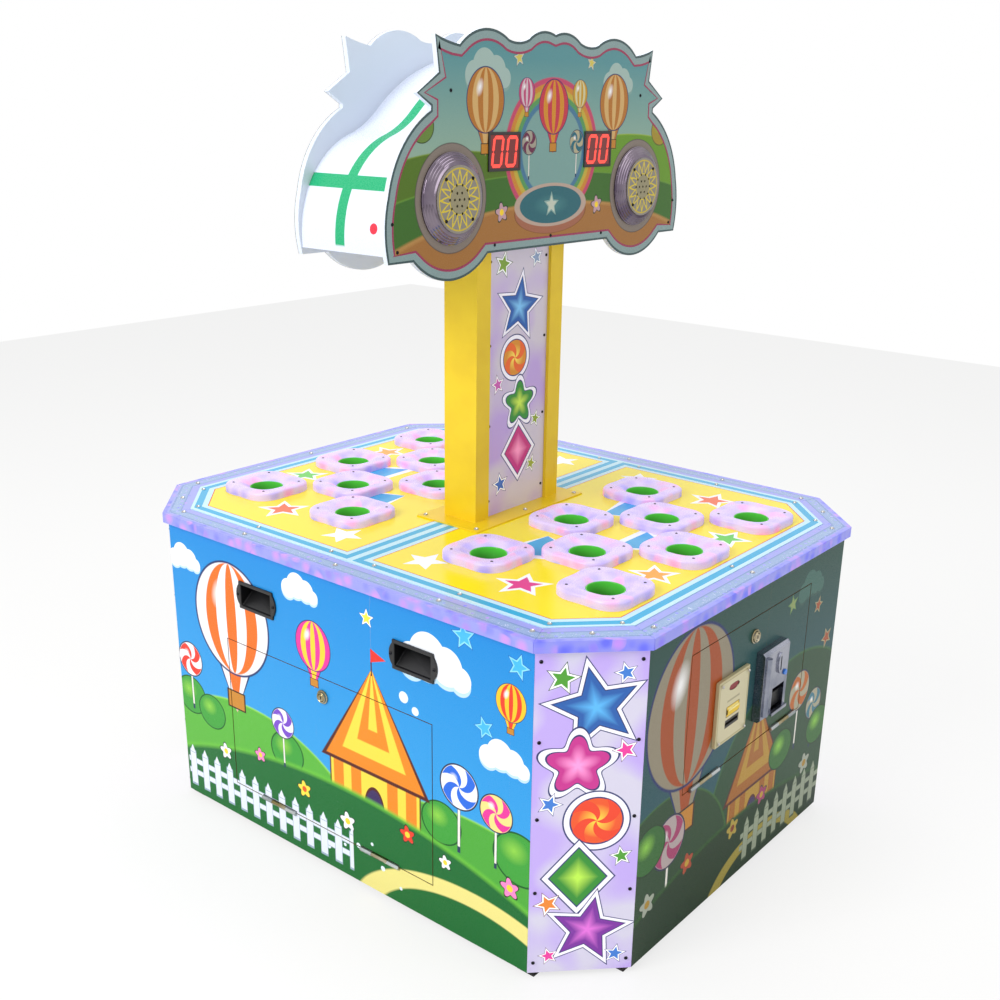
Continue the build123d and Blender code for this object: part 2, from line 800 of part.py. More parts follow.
def hinge_frame(face, door):
    """What the cabinet carries for a door: the pinned half of each hinge, and stops behind three edges."""
    centre, bottom, width, height, spread = door
    pivot_y = -face - pivot_out
    pivot_z = bottom - door_gap / 2
    end_length = (hinge_length - knuckle_length) / 2 - run_gap
    stop_y = panel_thick + stop_thick / 2 - face
    top = bottom + height
    reach = stop_width / 2 - stop_cover
    with BuildPart() as frame:
        for u in hinge_centres(centre, spread):
            with BuildSketch(Plane.YZ.offset(u)):
                with Locations((pivot_y, pivot_z)):
                    RegularPolygon(pin_radius, side_count=pin_sides)
            extrude(amount=(hinge_length - end_length) / 2, both=True)
            for start in (u - hinge_length / 2, u + hinge_length / 2 - end_length):
                with BuildSketch(Plane.YZ.offset(start)):
                    with Locations((pivot_y, pivot_z)):
                        RegularPolygon(knuckle_radius, side_count=6, major_radius=False)
                extrude(amount=end_length)
                middle = (start + end_length / 2, pivot_y + leaf_depth / 2, bottom - door_gap + leaf_thick / 2)
                with Locations(middle):
                    Box(end_length, leaf_depth, leaf_thick)
        with Locations((centre, stop_y, top + reach)):
            Box(width + 2 * (stop_width - stop_cover), stop_thick, stop_width)
        for u in (centre - width / 2 - reach, centre + width / 2 + reach):
            with Locations((u, stop_y, (bottom + top - stop_cover) / 2)):
                Box(stop_width, stop_thick, height - stop_cover - 2 * weld_gap)
    return frame.part


def lock_plug(face, door):
    """The turning plug with its cam, shown unlocked: the cam lies along the door, clear of the stop."""
    lock_u, lock_z = lock_place(door)
    plug_front = -face - lock_flange_thick - plug_proud
    cam_front = door_thick + lock_tail + run_gap - face
    plug_length = cam_front + cam_thick - plug_front
    with BuildPart() as plug:
        with BuildSketch(Plane.XZ.offset(-plug_front)):
            with Locations((lock_u, lock_z)):
                RegularPolygon(plug_radius, side_count=turned_sides)
        extrude(amount=-plug_length)
        with Locations((lock_u + (cam_length - cam_width) / 2, cam_front + cam_thick / 2, lock_z)):
            Box(cam_length, cam_thick, cam_width)
        with Locations((lock_u, plug_front, lock_z)):
            Box(key_slot_width, 2 * key_slot_depth, key_slot_length, mode=Mode.SUBTRACT)
    return plug.part


# Access door on the left side
save(door_leaf(half_width, side_door, []).rotate(Axis.Z, turn_left), "side_door")
save(door_hardware(half_width, side_door).rotate(Axis.Z, turn_left), "side_door_hardware")
save(lock_plug(half_width, side_door).rotate(Axis.Z, turn_left), "side_door_lock")

# Cabinet half of all three doors' hinges, with their stops
with BuildPart() as door_hinge_frames:
    add(hinge_frame(half_width, side_door).rotate(Axis.Z, turn_left))
    add(hinge_frame(half_length, coin_door))
    add(hinge_frame(half_length, coin_door).rotate(Axis.Z, turn_back))
save(door_hinge_frames.part, "door_hinge_frames")

# Coin mechanism: a cast housing with a round bar, a raised coin entry and a return cup
mech_front = -half_length - mech_proud
cup_middle = (mech_x + cup_x, mech_height_centre + cup_z)
flap_pivot_y = mech_front + flap_back
flap_pivot_z = cup_middle[1] + cup_tall / 2 - flap_drop
with BuildPart() as coin_mech:
    with Locations((mech_x, -half_length - mech_proud / 2, mech_height_centre)):
        Box(mech_width, mech_proud, mech_tall)
    chamfer(coin_mech.edges().filter_by(Axis.X).group_by(Axis.Y)[0], mech_proud * corner_share)
    with Locations((mech_x, mech_body_depth / 2 - half_length, mech_height_centre)):
        Box(mech_body_width, mech_body_depth, mech_body_tall)
    with BuildSketch(Plane.XY.offset(mech_height_centre)):
        with Locations((mech_x + bar_x, mech_front)):
            RegularPolygon(bar_radius, side_count=turned_sides, rotation=180 / turned_sides)
    extrude(amount=bar_tall / 2, both=True)
    with BuildSketch(Plane.XZ.offset(-mech_front)):
        with Locations((mech_x + entry_x, mech_height_centre + entry_z)):
            Ellipse(entry_width / 2, entry_length / 2)
    extrude(amount=entry_proud)
    with Locations((mech_x + entry_x, mech_front, mech_height_centre + entry_z)):
        Box(coin_slot_width, 2 * coin_slot_depth, coin_slot_length, mode=Mode.SUBTRACT)
    with Locations((cup_middle[0], mech_front, cup_middle[1])):
        Box(cup_width, 2 * cup_depth, cup_tall, mode=Mode.SUBTRACT)
    with Locations((cup_middle[0], mech_front - cup_lip / 2, cup_middle[1] - cup_tall / 2)):
        Box(cup_width + 2 * cup_lip, cup_lip, cup_lip)
    with BuildSketch(Plane.XZ.offset(-mech_front)):
        with Locations((mech_x + button_x, mech_height_centre + button_z)):
            RegularPolygon(button_radius + pin_gap, side_count=turned_sides, major_radius=False)
    extrude(amount=button_proud - button_length - button_travel - run_gap, mode=Mode.SUBTRACT)
    with BuildSketch(Plane.YZ.offset(cup_middle[0])):
        with Locations((flap_pivot_y, flap_pivot_z)):
            RegularPolygon(flap_pin_radius + pin_gap, side_count=pin_sides, major_radius=False)
    extrude(amount=cup_width / 2 + flap_pin_seat + run_gap, both=True, mode=Mode.SUBTRACT)

# Return button beside the coin entry
with BuildPart() as return_button:
    with BuildSketch(Plane.XZ.offset(button_proud - mech_front)):
        with Locations((mech_x + button_x, mech_height_centre + button_z)):
            RegularPolygon(button_radius, side_count=turned_sides)
    extrude(amount=-button_length)

# Flap of the return cup, hung on its pin
with BuildPart() as return_flap:
    with BuildSketch(Plane.YZ.offset(cup_middle[0])):
        with Locations((flap_pivot_y, flap_pivot_z)):
            RegularPolygon(flap_pin_radius, side_count=pin_sides)
    extrude(amount=cup_width / 2 + flap_pin_seat, both=True)
    with Locations((cup_middle[0], flap_pivot_y, flap_pivot_z - flap_tall / 2)):
        Box(cup_width - 2 * run_gap, flap_thick, flap_tall)

# Payment plate: a shallow cover with a window, a lens and a card slot, and its reader behind
plate_front = -half_length - plate_proud
with BuildPart() as payment_plate:
    with Locations((plate_x, -half_length - plate_proud / 2, plate_height_centre)):
        Box(plate_width, plate_proud, plate_tall)
    with Locations((plate_x, reader_depth / 2 - half_length, plate_height_centre)):
        Box(reader_width, reader_depth, reader_tall)
    with Locations((plate_x, plate_front - lens_proud / 2, plate_height_centre + lens_z)):
        Box(lens_length, lens_proud, lens_width)
    with Locations((plate_x, plate_front, plate_height_centre + slot_z)):
        Box(slot_length, 2 * slot_depth, slot_width, mode=Mode.SUBTRACT)
    with BuildSketch(Plane.XZ.offset(-plate_front)) as window:
        with Locations((plate_x, plate_height_centre + window_z)):
            Rectangle(window_length, window_width)
        chamfer(window.vertices(), window_width * corner_share)
    extrude(amount=-window_depth, mode=Mode.SUBTRACT)

# Coin doors and what they carry, at the front and, turned half round, at the back
coin_cut_outs = [
    (mech_x, mech_height_centre, mech_body_width + 2 * seam, mech_body_tall + 2 * seam),
    (plate_x, plate_height_centre, reader_width + 2 * seam, reader_tall + 2 * seam),
]
coin_door_pieces = {
    "coin_door": door_leaf(half_length, coin_door, coin_cut_outs),
    "door_hardware": door_hardware(half_length, coin_door),
    "door_lock": lock_plug(half_length, coin_door),
    "coin_mech": coin_mech.part,
    "return_button": return_button.part,
    "return_flap": return_flap.part,
    "payment_plate": payment_plate.part,
}
for end, turn in (("front", 0), ("back", turn_back)):
    for name, piece in coin_door_pieces.items():
        save(piece.rotate(Axis.Z, turn), f"{end}_{name}")

# Coin boxes on the floor, open at the top below each mechanism
coin_box_y = half_length - frame_inset - coin_box_from_end - coin_box_length / 2
with BuildPart() as coin_boxes:
    for y in (-coin_box_y, coin_box_y):
        with Locations((0, y, floor_top + coin_box_tall / 2)):
            Box(coin_box_width, coin_box_length, coin_box_tall)
        with Locations((0, y, floor_top + coin_box_wall + coin_box_tall / 2)):
            Box(
                coin_box_width - 2 * coin_box_wall,
                coin_box_length - 2 * coin_box_wall,
                coin_box_tall,
                mode=Mode.SUBTRACT,
            )
save(coin_boxes.part, "coin_boxes")

# Electronics on the floor, side by side along the right wall: the power supply and the control unit
electronics_wall = half_width - frame_inset - electronics_from_wall
with BuildPart() as electronics:
    for toward, (width, length, tall) in ((-1, supply_size), (1, control_size)):
        y = toward * (electronics_spacing + length) / 2
        with Locations((electronics_wall - width / 2, y, floor_top + tall / 2)):
            Box(width, length, tall)
save(electronics.part, "electronics")
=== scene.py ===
# %% [markdown]
# # A two-player mole pounding machine, dressed for its photograph
#
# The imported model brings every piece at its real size. This lesson gives each its finish, and adds
# what makes a printed, lit arcade cabinet: screws, lamps, tape, digits and soft edges. Everything is
# in metres, with the floor at z = 0 and the front player at -Y.

# %% Load the frame
import json
from math import cos, pi, radians, sin, sqrt

import bmesh
import bpy
from mathutils import Matrix, Vector


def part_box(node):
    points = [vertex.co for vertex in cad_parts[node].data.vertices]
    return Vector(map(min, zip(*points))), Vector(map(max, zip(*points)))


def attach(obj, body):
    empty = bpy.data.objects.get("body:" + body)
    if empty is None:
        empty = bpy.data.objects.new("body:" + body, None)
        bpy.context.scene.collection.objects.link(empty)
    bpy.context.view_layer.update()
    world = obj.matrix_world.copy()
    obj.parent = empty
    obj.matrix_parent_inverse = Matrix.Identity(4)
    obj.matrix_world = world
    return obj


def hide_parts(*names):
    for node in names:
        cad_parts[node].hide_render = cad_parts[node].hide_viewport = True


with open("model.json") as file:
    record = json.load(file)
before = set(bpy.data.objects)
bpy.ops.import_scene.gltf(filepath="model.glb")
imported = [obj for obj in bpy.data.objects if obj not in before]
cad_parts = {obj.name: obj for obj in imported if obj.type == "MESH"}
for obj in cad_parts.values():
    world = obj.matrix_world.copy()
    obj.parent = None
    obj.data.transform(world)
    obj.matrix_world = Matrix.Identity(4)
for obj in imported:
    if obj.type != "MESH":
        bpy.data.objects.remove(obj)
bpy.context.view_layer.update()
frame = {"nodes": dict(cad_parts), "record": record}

nodes = frame["nodes"]
node_slots = {row["node"]: row["material_slot"] for row in frame["record"]["subparts"]}
scene = bpy.context.scene

# %% [markdown]
# ## The camera
#
# The camera stands where the photographer stood: in front of the corner between the door side and the
# front player's end, a little above the deck. Two angles and a small roll turn it, and a shift moves
# the picture in its frame the way a cropped photograph does.

# %% Camera
camera_place = Vector((-2.01507, -1.64955, 1.5449))
camera_turn = radians(-51.393)
camera_dip = radians(20.163)
camera_roll = radians(1.105)
camera_lens = 44.12
camera_shift = (-0.01535, 0.05083)

ahead = Vector((-sin(camera_turn) * cos(camera_dip), cos(camera_turn) * cos(camera_dip), -sin(camera_dip)))
across = ahead.cross(Vector((0, 0, 1))).normalized()
upward = across.cross(ahead)
rolled_across = across * cos(camera_roll) + upward * sin(camera_roll)
rolled_upward = upward * cos(camera_roll) - across * sin(camera_roll)
camera = bpy.data.objects.new("camera", bpy.data.cameras.new("camera"))
scene.collection.objects.link(camera)
camera.matrix_world = Matrix.Translation(camera_place) @ Matrix(
    (rolled_across, rolled_upward, -ahead)
).transposed().to_4x4()
camera.data.lens = camera_lens
camera.data.shift_x, camera.data.shift_y = camera_shift
scene.camera = camera
scene.view_settings.view_transform = "Standard"

# %% [markdown]
# ## Colours and nodes
#
# Colours are written as sRGB hex, as paint charts and image editors give them. Blender works in
# linear light, so one function turns them over. Another adds a shader node: its settings are keywords,
# and a dictionary of values or sockets feeds its inputs. The last three lay inks over a colour.

# %% Helpers for colours and nodes
materials = {}


def linear(hex_colour):
    """An sRGB hex colour as linear RGBA."""
    shares = [int(hex_colour[i : i + 2], 16) / 255 for i in (1, 3, 5)]
    return [s / 12.92 if s <= 0.04045 else ((s + 0.055) / 1.055) ** 2.4 for s in shares] + [1.0]


def add_node(tree, kind, feeds=None, **settings):
    """Adds a node and returns its outputs. A feed that is a socket is linked, anything else is set."""
    made = tree.nodes.new("ShaderNode" + kind)
    for setting, value in settings.items():
        setattr(made, setting, value)
    for key, feed in (feeds or {}).items():
        if isinstance(feed, bpy.types.NodeSocket):
            tree.links.new(feed, made.inputs[key])
        else:
            made.inputs[key].default_value = linear(feed) if isinstance(feed, str) else feed
    return made.outputs


def new_material(name, key=None):
    """Starts a material, keeps it under its key or its name, and returns its empty tree."""
    made = materials[key or name] = bpy.data.materials.new(name)
    made.use_nodes = True
    made.node_tree.nodes.clear()
    return made.node_tree


def new_group(name, inputs, outputs):
    """A node group with its sockets, given as name: kind, and its two end nodes."""
    tree = bpy.data.node_groups.new(name, "ShaderNodeTree")
    for side, sockets in (("INPUT", inputs), ("OUTPUT", outputs)):
        for socket, kind in sockets.items():
            tree.interface.new_socket(socket, in_out=side, socket_type=kind)
    return tree, tree.nodes.new("NodeGroupInput"), tree.nodes.new("NodeGroupOutput")


def calculate(tree, known, steps):
    """Works through lines of name, operation and terms, and keeps each result under its name."""
    for name, operation, *terms in (step.split() for step in steps.strip().splitlines()):
        feeds = {place: known[term] if term in known else float(term) for place, term in enumerate(terms)}
        known[name] = add_node(tree, "Math", feeds, operation=operation)[0]
    return known


def inked(tree, colour, *layers):
    """Lays inks over a colour, each given with the mask that says where it lies."""
    for mask, ink in layers:
        colour = add_node(tree, "Mix", {0: mask, 6: colour, 7: ink}, data_type="RGBA")[2]
    return colour


def banded(tree, inside, colour, bands):
    """Lays bands over a colour, each given as the limit from which it lies, and its ink."""
    for limit, ink in bands:
        known = calculate(tree, {"inside": inside, "limit": limit}, "past GREATER_THAN inside limit")
        colour = inked(tree, colour, (known["past"], ink))
    return colour


def graded(tree, value, low, high, first, second):
    """The first colour up to the low value, the second from the high one, and a blend between."""
    return inked(tree, first, (add_node(tree, "MapRange", {0: value, 1: low, 2: high})[0], second))

# %% [markdown]
# ## Where a print lies
#
# A board is printed in its own flat coordinates: u runs to the right as you stand in front of it, v
# is the height, and a third number says how far out a point lies. The group works them out from
# Object coordinates for the ends, the long sides, the cut corners and the deck, so that opposite
# boards carry the same print. Two more numbers say how far a point lies inside the deck's yellow
# field and inside the rim's outer edge.

# %% Panel coordinates
rim_x, rim_y, rim_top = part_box("rim_strips")[1]
panel_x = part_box("right_side_panel")[1].x
panel_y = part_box("end_panels")[1].y
corner_cut = 0.070
corner_x, corner_y = panel_x - corner_cut, panel_y - corner_cut
diagonal = sqrt(0.5)
corner_out = (corner_x + corner_y) * diagonal
field_x, field_y, field_start, field_cut = 0.438, 0.560, 0.037, 0.086

plane_parts = {
    "End": ("end_u", "z", "long"),
    "Side": ("side_u", "z", "wide"),
    "Corner": ("corner_u", "z", "corner_out"),
    "Deck": ("end_u", "deck_v", "z"),
}
distances = ("Field", "Rim")
planes_tree, _, planes_out = new_group(
    "panel coordinates",
    {},
    dict.fromkeys(plane_parts, "NodeSocketVector") | dict.fromkeys(distances, "NodeSocketFloat"),
)
at_object = add_node(planes_tree, "TexCoord")["Object"]
lengths = {
    "diagonal": diagonal,
    "less_diagonal": -diagonal,
    "corner_middle": (corner_x - corner_y) * diagonal,
    "field_x": field_x,
    "field_y": field_y,
    "field_cut": (field_x + field_y - field_cut) * diagonal,
    "field_start": field_start,
    "rim_x": rim_x,
    "rim_y": rim_y,
    "rim_out": corner_out + rim_x - panel_x,
}
known = calculate(
    planes_tree,
    dict(zip("xyz", add_node(planes_tree, "SeparateXYZ", {0: at_object}))) | lengths,
    """
    sign_x SIGN x
    sign_y SIGN y
    wide ABSOLUTE x
    long ABSOLUTE y
    front MULTIPLY sign_y -1
    end_u MULTIPLY x front
    side_u MULTIPLY y sign_x
    deck_v MULTIPLY y front
    spread SUBTRACT long wide
    reach ADD long wide
    quarter MULTIPLY sign_x sign_y
    offset MULTIPLY_ADD spread diagonal corner_middle
    corner_u MULTIPLY offset quarter
    corner_out MULTIPLY reach diagonal
    field_wide SUBTRACT field_x wide
    field_long SUBTRACT field_y long
    field_corner MULTIPLY_ADD reach less_diagonal field_cut
    field_end SUBTRACT long field_start
    field_sides MINIMUM field_wide field_long
    field_ends MINIMUM field_corner field_end
    Field MINIMUM field_sides field_ends
    rim_wide SUBTRACT rim_x wide
    rim_long SUBTRACT rim_y long
    rim_corner SUBTRACT rim_out corner_out
    rim_sides MINIMUM rim_wide rim_long
    Rim MINIMUM rim_sides rim_corner
    """,
)
for name, parts in plane_parts.items():
    feeds = {place: known[part] for place, part in enumerate(parts)}
    known[name] = add_node(planes_tree, "CombineXYZ", feeds)[0]
for name in (*plane_parts, *distances):
    planes_tree.links.new(known[name], planes_out.inputs[name])
print("panel coordinates", len(planes_tree.nodes), "nodes")

# %% [markdown]
# ## One stamp for every motif
#
# The prints are flat shapes, laid over each other like a screen printer's inks. Each shape is a number
# that is 0 in its middle and 1 on its edge, so one comparison fills it, and a second one with a larger
# limit gives it an outline. A subtraction moves the stamp, and two dot products turn and size it.
# Tried with a Mapping or a Separate XYZ node instead, 90 stamps overfilled the renderer's shader
# stack and the print came out black, while 200 stamps of dot products fitted.

# %% The stamp group
stamp_shapes = ("Oval", "Box", "Star", "Flower", "Cone", "Diamond", "Swirl", "Rays")
# The edge of a star's arm leans by this angle, when its inner corners lie at 0.45 of its reach
star_lean = 1.176
petal_depth = 0.2
sun_rays = 16

stamp_tree, stamp_in, stamp_out = new_group(
    "stamp",
    dict.fromkeys(("Plane", "Place", "Across", "Upward"), "NodeSocketVector"),
    dict.fromkeys(stamp_shapes, "NodeSocketFloat"),
)
feeds = {0: stamp_in.outputs["Plane"], 1: stamp_in.outputs["Place"]}
shifted = add_node(stamp_tree, "VectorMath", feeds, operation="SUBTRACT")[0]
known = {
    "star_fold": pi / 5,
    "star_lean": star_lean,
    "star_reach": cos(star_lean),
    "petal_depth": petal_depth,
    "petal_base": 1 - petal_depth,
    "ray_fold": pi / sun_rays,
    "ray_slope": sun_rays / pi * 0.5,
}
for name, direction in (("x", "Across"), ("y", "Upward")):
    feeds = {0: shifted, 1: stamp_in.outputs[direction]}
    known[name] = add_node(stamp_tree, "VectorMath", feeds, operation="DOT_PRODUCT")["Value"]
# A swirl's gaps have 9 added, which puts them past every limit
calculate(
    stamp_tree,
    known,
    """
    xx MULTIPLY x x
    square MULTIPLY_ADD y y xx
    Oval SQRT square
    angle ARCTAN2 x y
    wide ABSOLUTE x
    tall ABSOLUTE y
    Box MAXIMUM wide tall
    Diamond ADD wide tall
    folded PINGPONG angle star_fold
    leaning SUBTRACT folded star_lean
    arm COSINE leaning
    star MULTIPLY Oval arm
    Star DIVIDE star star_reach
    five MULTIPLY angle 5
    petal COSINE five
    petals MULTIPLY_ADD petal petal_depth petal_base
    Flower DIVIDE Oval petals
    double MULTIPLY wide 2
    above SUBTRACT 1 y
    slope MAXIMUM above 0.001
    cone DIVIDE double slope
    below MULTIPLY y -1
    Cone MAXIMUM cone below
    wound MULTIPLY Oval 5
    spiral MULTIPLY_ADD angle 4 wound
    wave SINE spiral
    gap LESS_THAN wave 0
    Swirl MULTIPLY_ADD gap 9 Oval
    ray PINGPONG angle ray_fold
    Rays MULTIPLY_ADD ray ray_slope Oval
    """,
)
for name in stamp_shapes:
    stamp_tree.links.new(known[name], stamp_out.inputs[name])
print("stamp group", len(stamp_tree.nodes), "nodes,", len(stamp_shapes), "shapes")

# %% [markdown]
# ## Printing with the stamp
#
# A print is a list of stamps, from the back to the front. Each gives its shape, place, size and turn,
# and its inks as pairs of limit and colour, with the widest first. A third number softens an edge,
# for glows and airbrushed shading.

# %% Print functions
edge_softness = 0.02


def print_stamps(tree, plane, ground, stamps):
    """Lays stamps over the ground colour and returns the colour of the finished print."""
    for shape, place, size, turn, inks in stamps:
        wide, tall = size if isinstance(size, tuple) else (size, size)
        level, lean = cos(radians(turn)), sin(radians(turn))
        feeds = {
            "Plane": plane,
            "Place": (*place, 0),
            "Across": (level / wide, lean / wide, 0),
            "Upward": (-lean / tall, level / tall, 0),
        }
        stamp = add_node(tree, "Group", feeds, node_tree=stamp_tree)[shape]
        for limit, ink, *soft in inks:
            # The Mix node clamps its factor itself
            feeds = {0: stamp, 1: limit, 2: limit - (soft[0] if soft else edge_softness)}
            mask = add_node(tree, "MapRange", feeds, clamp=False)[0]
            ground = inked(tree, ground, (mask, ink))
    return ground


def dots(size, colour, *places):
    """Plain round spots of one size and colour."""
    return [("Oval", place, size, 0, [(1.0, colour)]) for place in places]


def star(place, size, turn, colour, edge="#20306A", halo="#FFFFFF"):
    """A printed star with a white halo and a dark outline."""
    return [("Star", place, size, turn, [(1.3, edge), (1.18, halo), (0.86, colour)])]


def scaled(place, size, *parts):
    """A motif's stamps, from parts in shares of its size: shape, u, v, width, height, turn and inks."""
    u, v = place
    return [
        (shape, (u + size * x, v + size * y), (size * wide, size * tall), turn, inks)
        for shape, x, y, wide, tall, turn, inks in parts
    ]


def balloon(place, size, colours):
    """A hot-air balloon: an envelope with gores, its skirt and basket."""
    dark = "#1B2C66"
    gores = zip((1, 0.72, 0.42, 0.14), colours * 2)
    return scaled(
        place,
        size,
        ("Cone", 0, -1.25, 1, -0.62, 0, [(0.62, dark), (0.56, colours[0]), (0.28, colours[1])]),
        ("Oval", 0, 0, 1.04, 1.12, 0, [(1.0, dark)]),
        *(("Oval", 0, 0, width, 1.08, 0, [(1.0, colour)]) for width, colour in gores),
        ("Oval", -0.32, 0.42, 0.2, 0.34, -20, [(1.0, "#FFFFFF", 0.9)]),
        ("Box", 0, -1.62, 0.23, 0.17, 0, [(1.12, "#3A2410"), (0.95, "#C8862C")]),
    )


def cloud(place, size, colour="#F4F8FF", shade="#BFE0F6"):
    """A puffy cloud of four lobes, shaded below."""
    lobes = ((-0.62, -0.05, 0.42), (-0.15, 0.18, 0.55), (0.4, 0.08, 0.46), (0.8, -0.1, 0.3))
    parts = [
        ("Oval", x, y - drop, r, r, 0, [(1.0, ink)])
        for drop, ink in ((0.1, shade), (0, colour))
        for x, y, r in lobes
    ]
    return scaled(place, size, *parts)


def tent(place, size, colours, flag):
    """A striped big top on a striped wall, with a flag."""
    dark = "#54201A"
    stripes = list(zip((1.04, 0.97, 0.72, 0.44, 0.16), (dark, *colours, *colours)))
    return scaled(
        place,
        size,
        ("Box", 0, -1.15, 0.86, 0.42, 0, [(1.03, dark), (1.0, colours[1])]),
        *(("Box", x, -1.15, 0.1, 0.41, 0, [(1.0, colours[0])]) for x in (-0.7, -0.35, 0.35, 0.7)),
        ("Oval", 0, -1.35, 0.2, 0.36, 0, [(1.0, dark), (0.86, "#3C2A5E")]),
        ("Cone", 0, 0, 1, 0.8, 0, stripes),
        ("Box", 0, 0.9, 0.012, 0.2, 0, [(1.0, dark)]),
        ("Cone", 0.13, 1, 0.1, 0.14, -90, [(1.0, flag)]),
    )


def lollipop(place, size, colours):
    """A round candy with a swirl, on its stick."""
    return scaled(
        place,
        size,
        ("Box", 0, -1.9, 0.07, 1, 0, [(1.2, "#2A3A5A"), (0.9, "#F4F0E4")]),
        ("Oval", 0, 0, 1, 1, 0, [(1.06, "#2A2A4A"), (0.99, colours[0])]),
        ("Swirl", 0, 0, 0.97, 0.97, 0, [(1.0, colours[1])]),
        ("Oval", -0.3, 0.35, 0.25, 0.25, 0, [(1.0, "#FFFFFF", 1.0)]),
    )


def flower(place, size, colour, heart="#FFD83A"):
    """A five-petalled flower."""
    return [
        ("Flower", place, size, 10, [(1.15, "#1E3A22"), (1.0, colour)]),
        ("Oval", place, size * 0.34, 0, [(1.0, heart)]),
    ]


def hill(place, size, colour, rim):
    """A rounded hill with a lighter rim."""
    return [("Oval", place, size, 0, [(1.0, rim), (0.985, colour)])]


def bush(place, size, colour="#3FA03A", shade="#145A22"):
    """A round bush with a lit upper side."""
    return scaled(
        place,
        size,
        ("Oval", 0, 0, 1, 0.9, 0, [(1.05, shade), (0.98, colour)]),
        ("Oval", -0.2, 0.25, 0.6, 0.5, 0, [(1.0, "#8ED048", 1.0)]),
    )


def each(draw, *rows):
    """The stamps of one motif, drawn once for each row of its arguments."""
    return [stamp for row in rows for stamp in draw(*row)]

# %% [markdown]
# ## A surface with something to catch the light
#
# No real surface is perfectly even. This function adds a Principled shader whose gloss wanders a
# little and whose height carries a fine grain, both from one noise at a size given in millimetres.

# %% Surface function
millimetre = 0.001


def surface(tree, colour, gloss, grain, depth, glow=0.0, **extra):
    """Ends a tree in a Principled shader: gloss is its roughness range, grain and depth are in
    millimetres, and glow is how strongly it shines in its own colour."""
    at = add_node(tree, "TexCoord")["Object"]
    feeds = {"Vector": at, "Scale": 1 / (grain * millimetre), "Detail": 3.0}
    noise = add_node(tree, "TexNoise", feeds)[0]
    rough = add_node(tree, "MapRange", {0: noise, 1: 0.3, 2: 0.7, 3: gloss[0], 4: gloss[1]})[0]
    relief = add_node(tree, "Bump", {"Height": noise, "Distance": depth * millimetre})[0]
    feeds = {"Base Color": colour, "Roughness": rough, "Normal": relief}
    if glow:
        feeds |= {"Emission Color": colour, "Emission Strength": glow}
    feeds |= {key.replace("_", " "): value for key, value in extra.items()}
    add_node(tree, "OutputMaterial", {"Surface": add_node(tree, "BsdfPrincipled", feeds)[0]})

# %% [markdown]
# ## Plain finishes
#
# Most pieces need one plain finish. A row gives its real name, its two colours, how metallic it is,
# its roughness range, and the size and depth of its grain in millimetres. A slow noise mixes the
# colours, as handling, dust and uneven paint do.

# %% Plain finishes
plain_finishes = {
    # Powder coat is a baked paint with a fine orange peel, here on welded angle iron
    "frame_steel": ("black powder-coated steel", "#17181B", "#2A2B2E", 0.0, (0.4, 0.6), 1.2, 0.12),
    # Moulded rubber is dull and picks up floor dust
    "foot_rubber": ("moulded black rubber", "#141414", "#3A3835", 0.0, (0.75, 0.9), 0.8, 0.1),
    # Birch plywood is pale, with a soft grain that the noise only hints at
    "plywood": ("birch plywood", "#C7A06C", "#A97F4D", 0.0, (0.55, 0.75), 2.5, 0.1),
    # Solenoids are stamped steel frames round a varnished winding
    "coil_steel": ("zinc-plated solenoid steel", "#A9ABA6", "#8C8E86", 1.0, (0.3, 0.5), 1.5, 0.05),
    # Cast aluminium baskets keep a matt, sandy skin
    "driver_alloy": ("cast loudspeaker alloy", "#6A6C70", "#4C4E52", 1.0, (0.45, 0.6), 0.9, 0.1),
    # Galvanised sheet has broad spangles of zinc
    "galvanised_steel": ("galvanised sheet steel", "#B4B8B8", "#8E9496", 1.0, (0.35, 0.55), 6.0, 0.02),
    # Electronics cases are pressed and painted a dull grey
    "case_plastic": ("grey enamelled case", "#8A9090", "#787E80", 0.0, (0.45, 0.6), 1.0, 0.05),
    # Bought-in locks are bright chromed brass with fine wear
    "lock_chrome": ("chromed lock brass", "#B8B09A", "#8A7C52", 1.0, (0.12, 0.3), 1.0, 0.03),
    # The coin mechanism is die-cast, plated and rubbed dull by hands
    "mech_alloy": ("nickel-plated die-cast zinc", "#A4A6B2", "#747A8A", 1.0, (0.16, 0.32), 1.4, 0.05),
    # Clear blue polycarbonate, lit from behind by a small lamp
    "button_plastic": ("blue polycarbonate", "#3C8CF0", "#2A6CD0", 0.0, (0.12, 0.2), 2.0, 0.02),
    # The coin flap is a stamped steel plate with a dark oxide finish
    "flap_steel": ("oxidised stamped steel", "#4A4A48", "#2E2E2E", 1.0, (0.35, 0.5), 1.2, 0.05),
    # Grip pockets are glass-filled nylon, black and slightly glossy where hands rub them
    "handle_plastic": ("black glass-filled nylon", "#08080A", "#141418", 0.0, (0.3, 0.45), 0.8, 0.1),
    # Moles are blown polyethylene, waxy and warm brown
    "mole_plastic": ("brown moulded polyethylene", "#8A5226", "#6E3E1A", 0.0, (0.35, 0.5), 2.0, 0.08),
    # The column is folded sheet with a thick yellow powder coat
    "column_sheet": ("yellow powder-coated sheet", "#EFCD18", "#EAC616", 0.0, (0.28, 0.4), 1.4, 0.06),
    # Chromed plastic is a mirror, with a faint violet cast painted into its colour as a reflection of the
    # lamps round it
    "chromed_plastic": ("dark chromed ABS", "#857A86", "#5E5264", 1.0, (0.05, 0.14), 4.0, 0.03),
    # Display housings are matt black so that the digits stand out
    "display_plastic": ("matt black display ABS", "#1A1212", "#241A1A", 0.0, (0.4, 0.55), 0.9, 0.05),
}
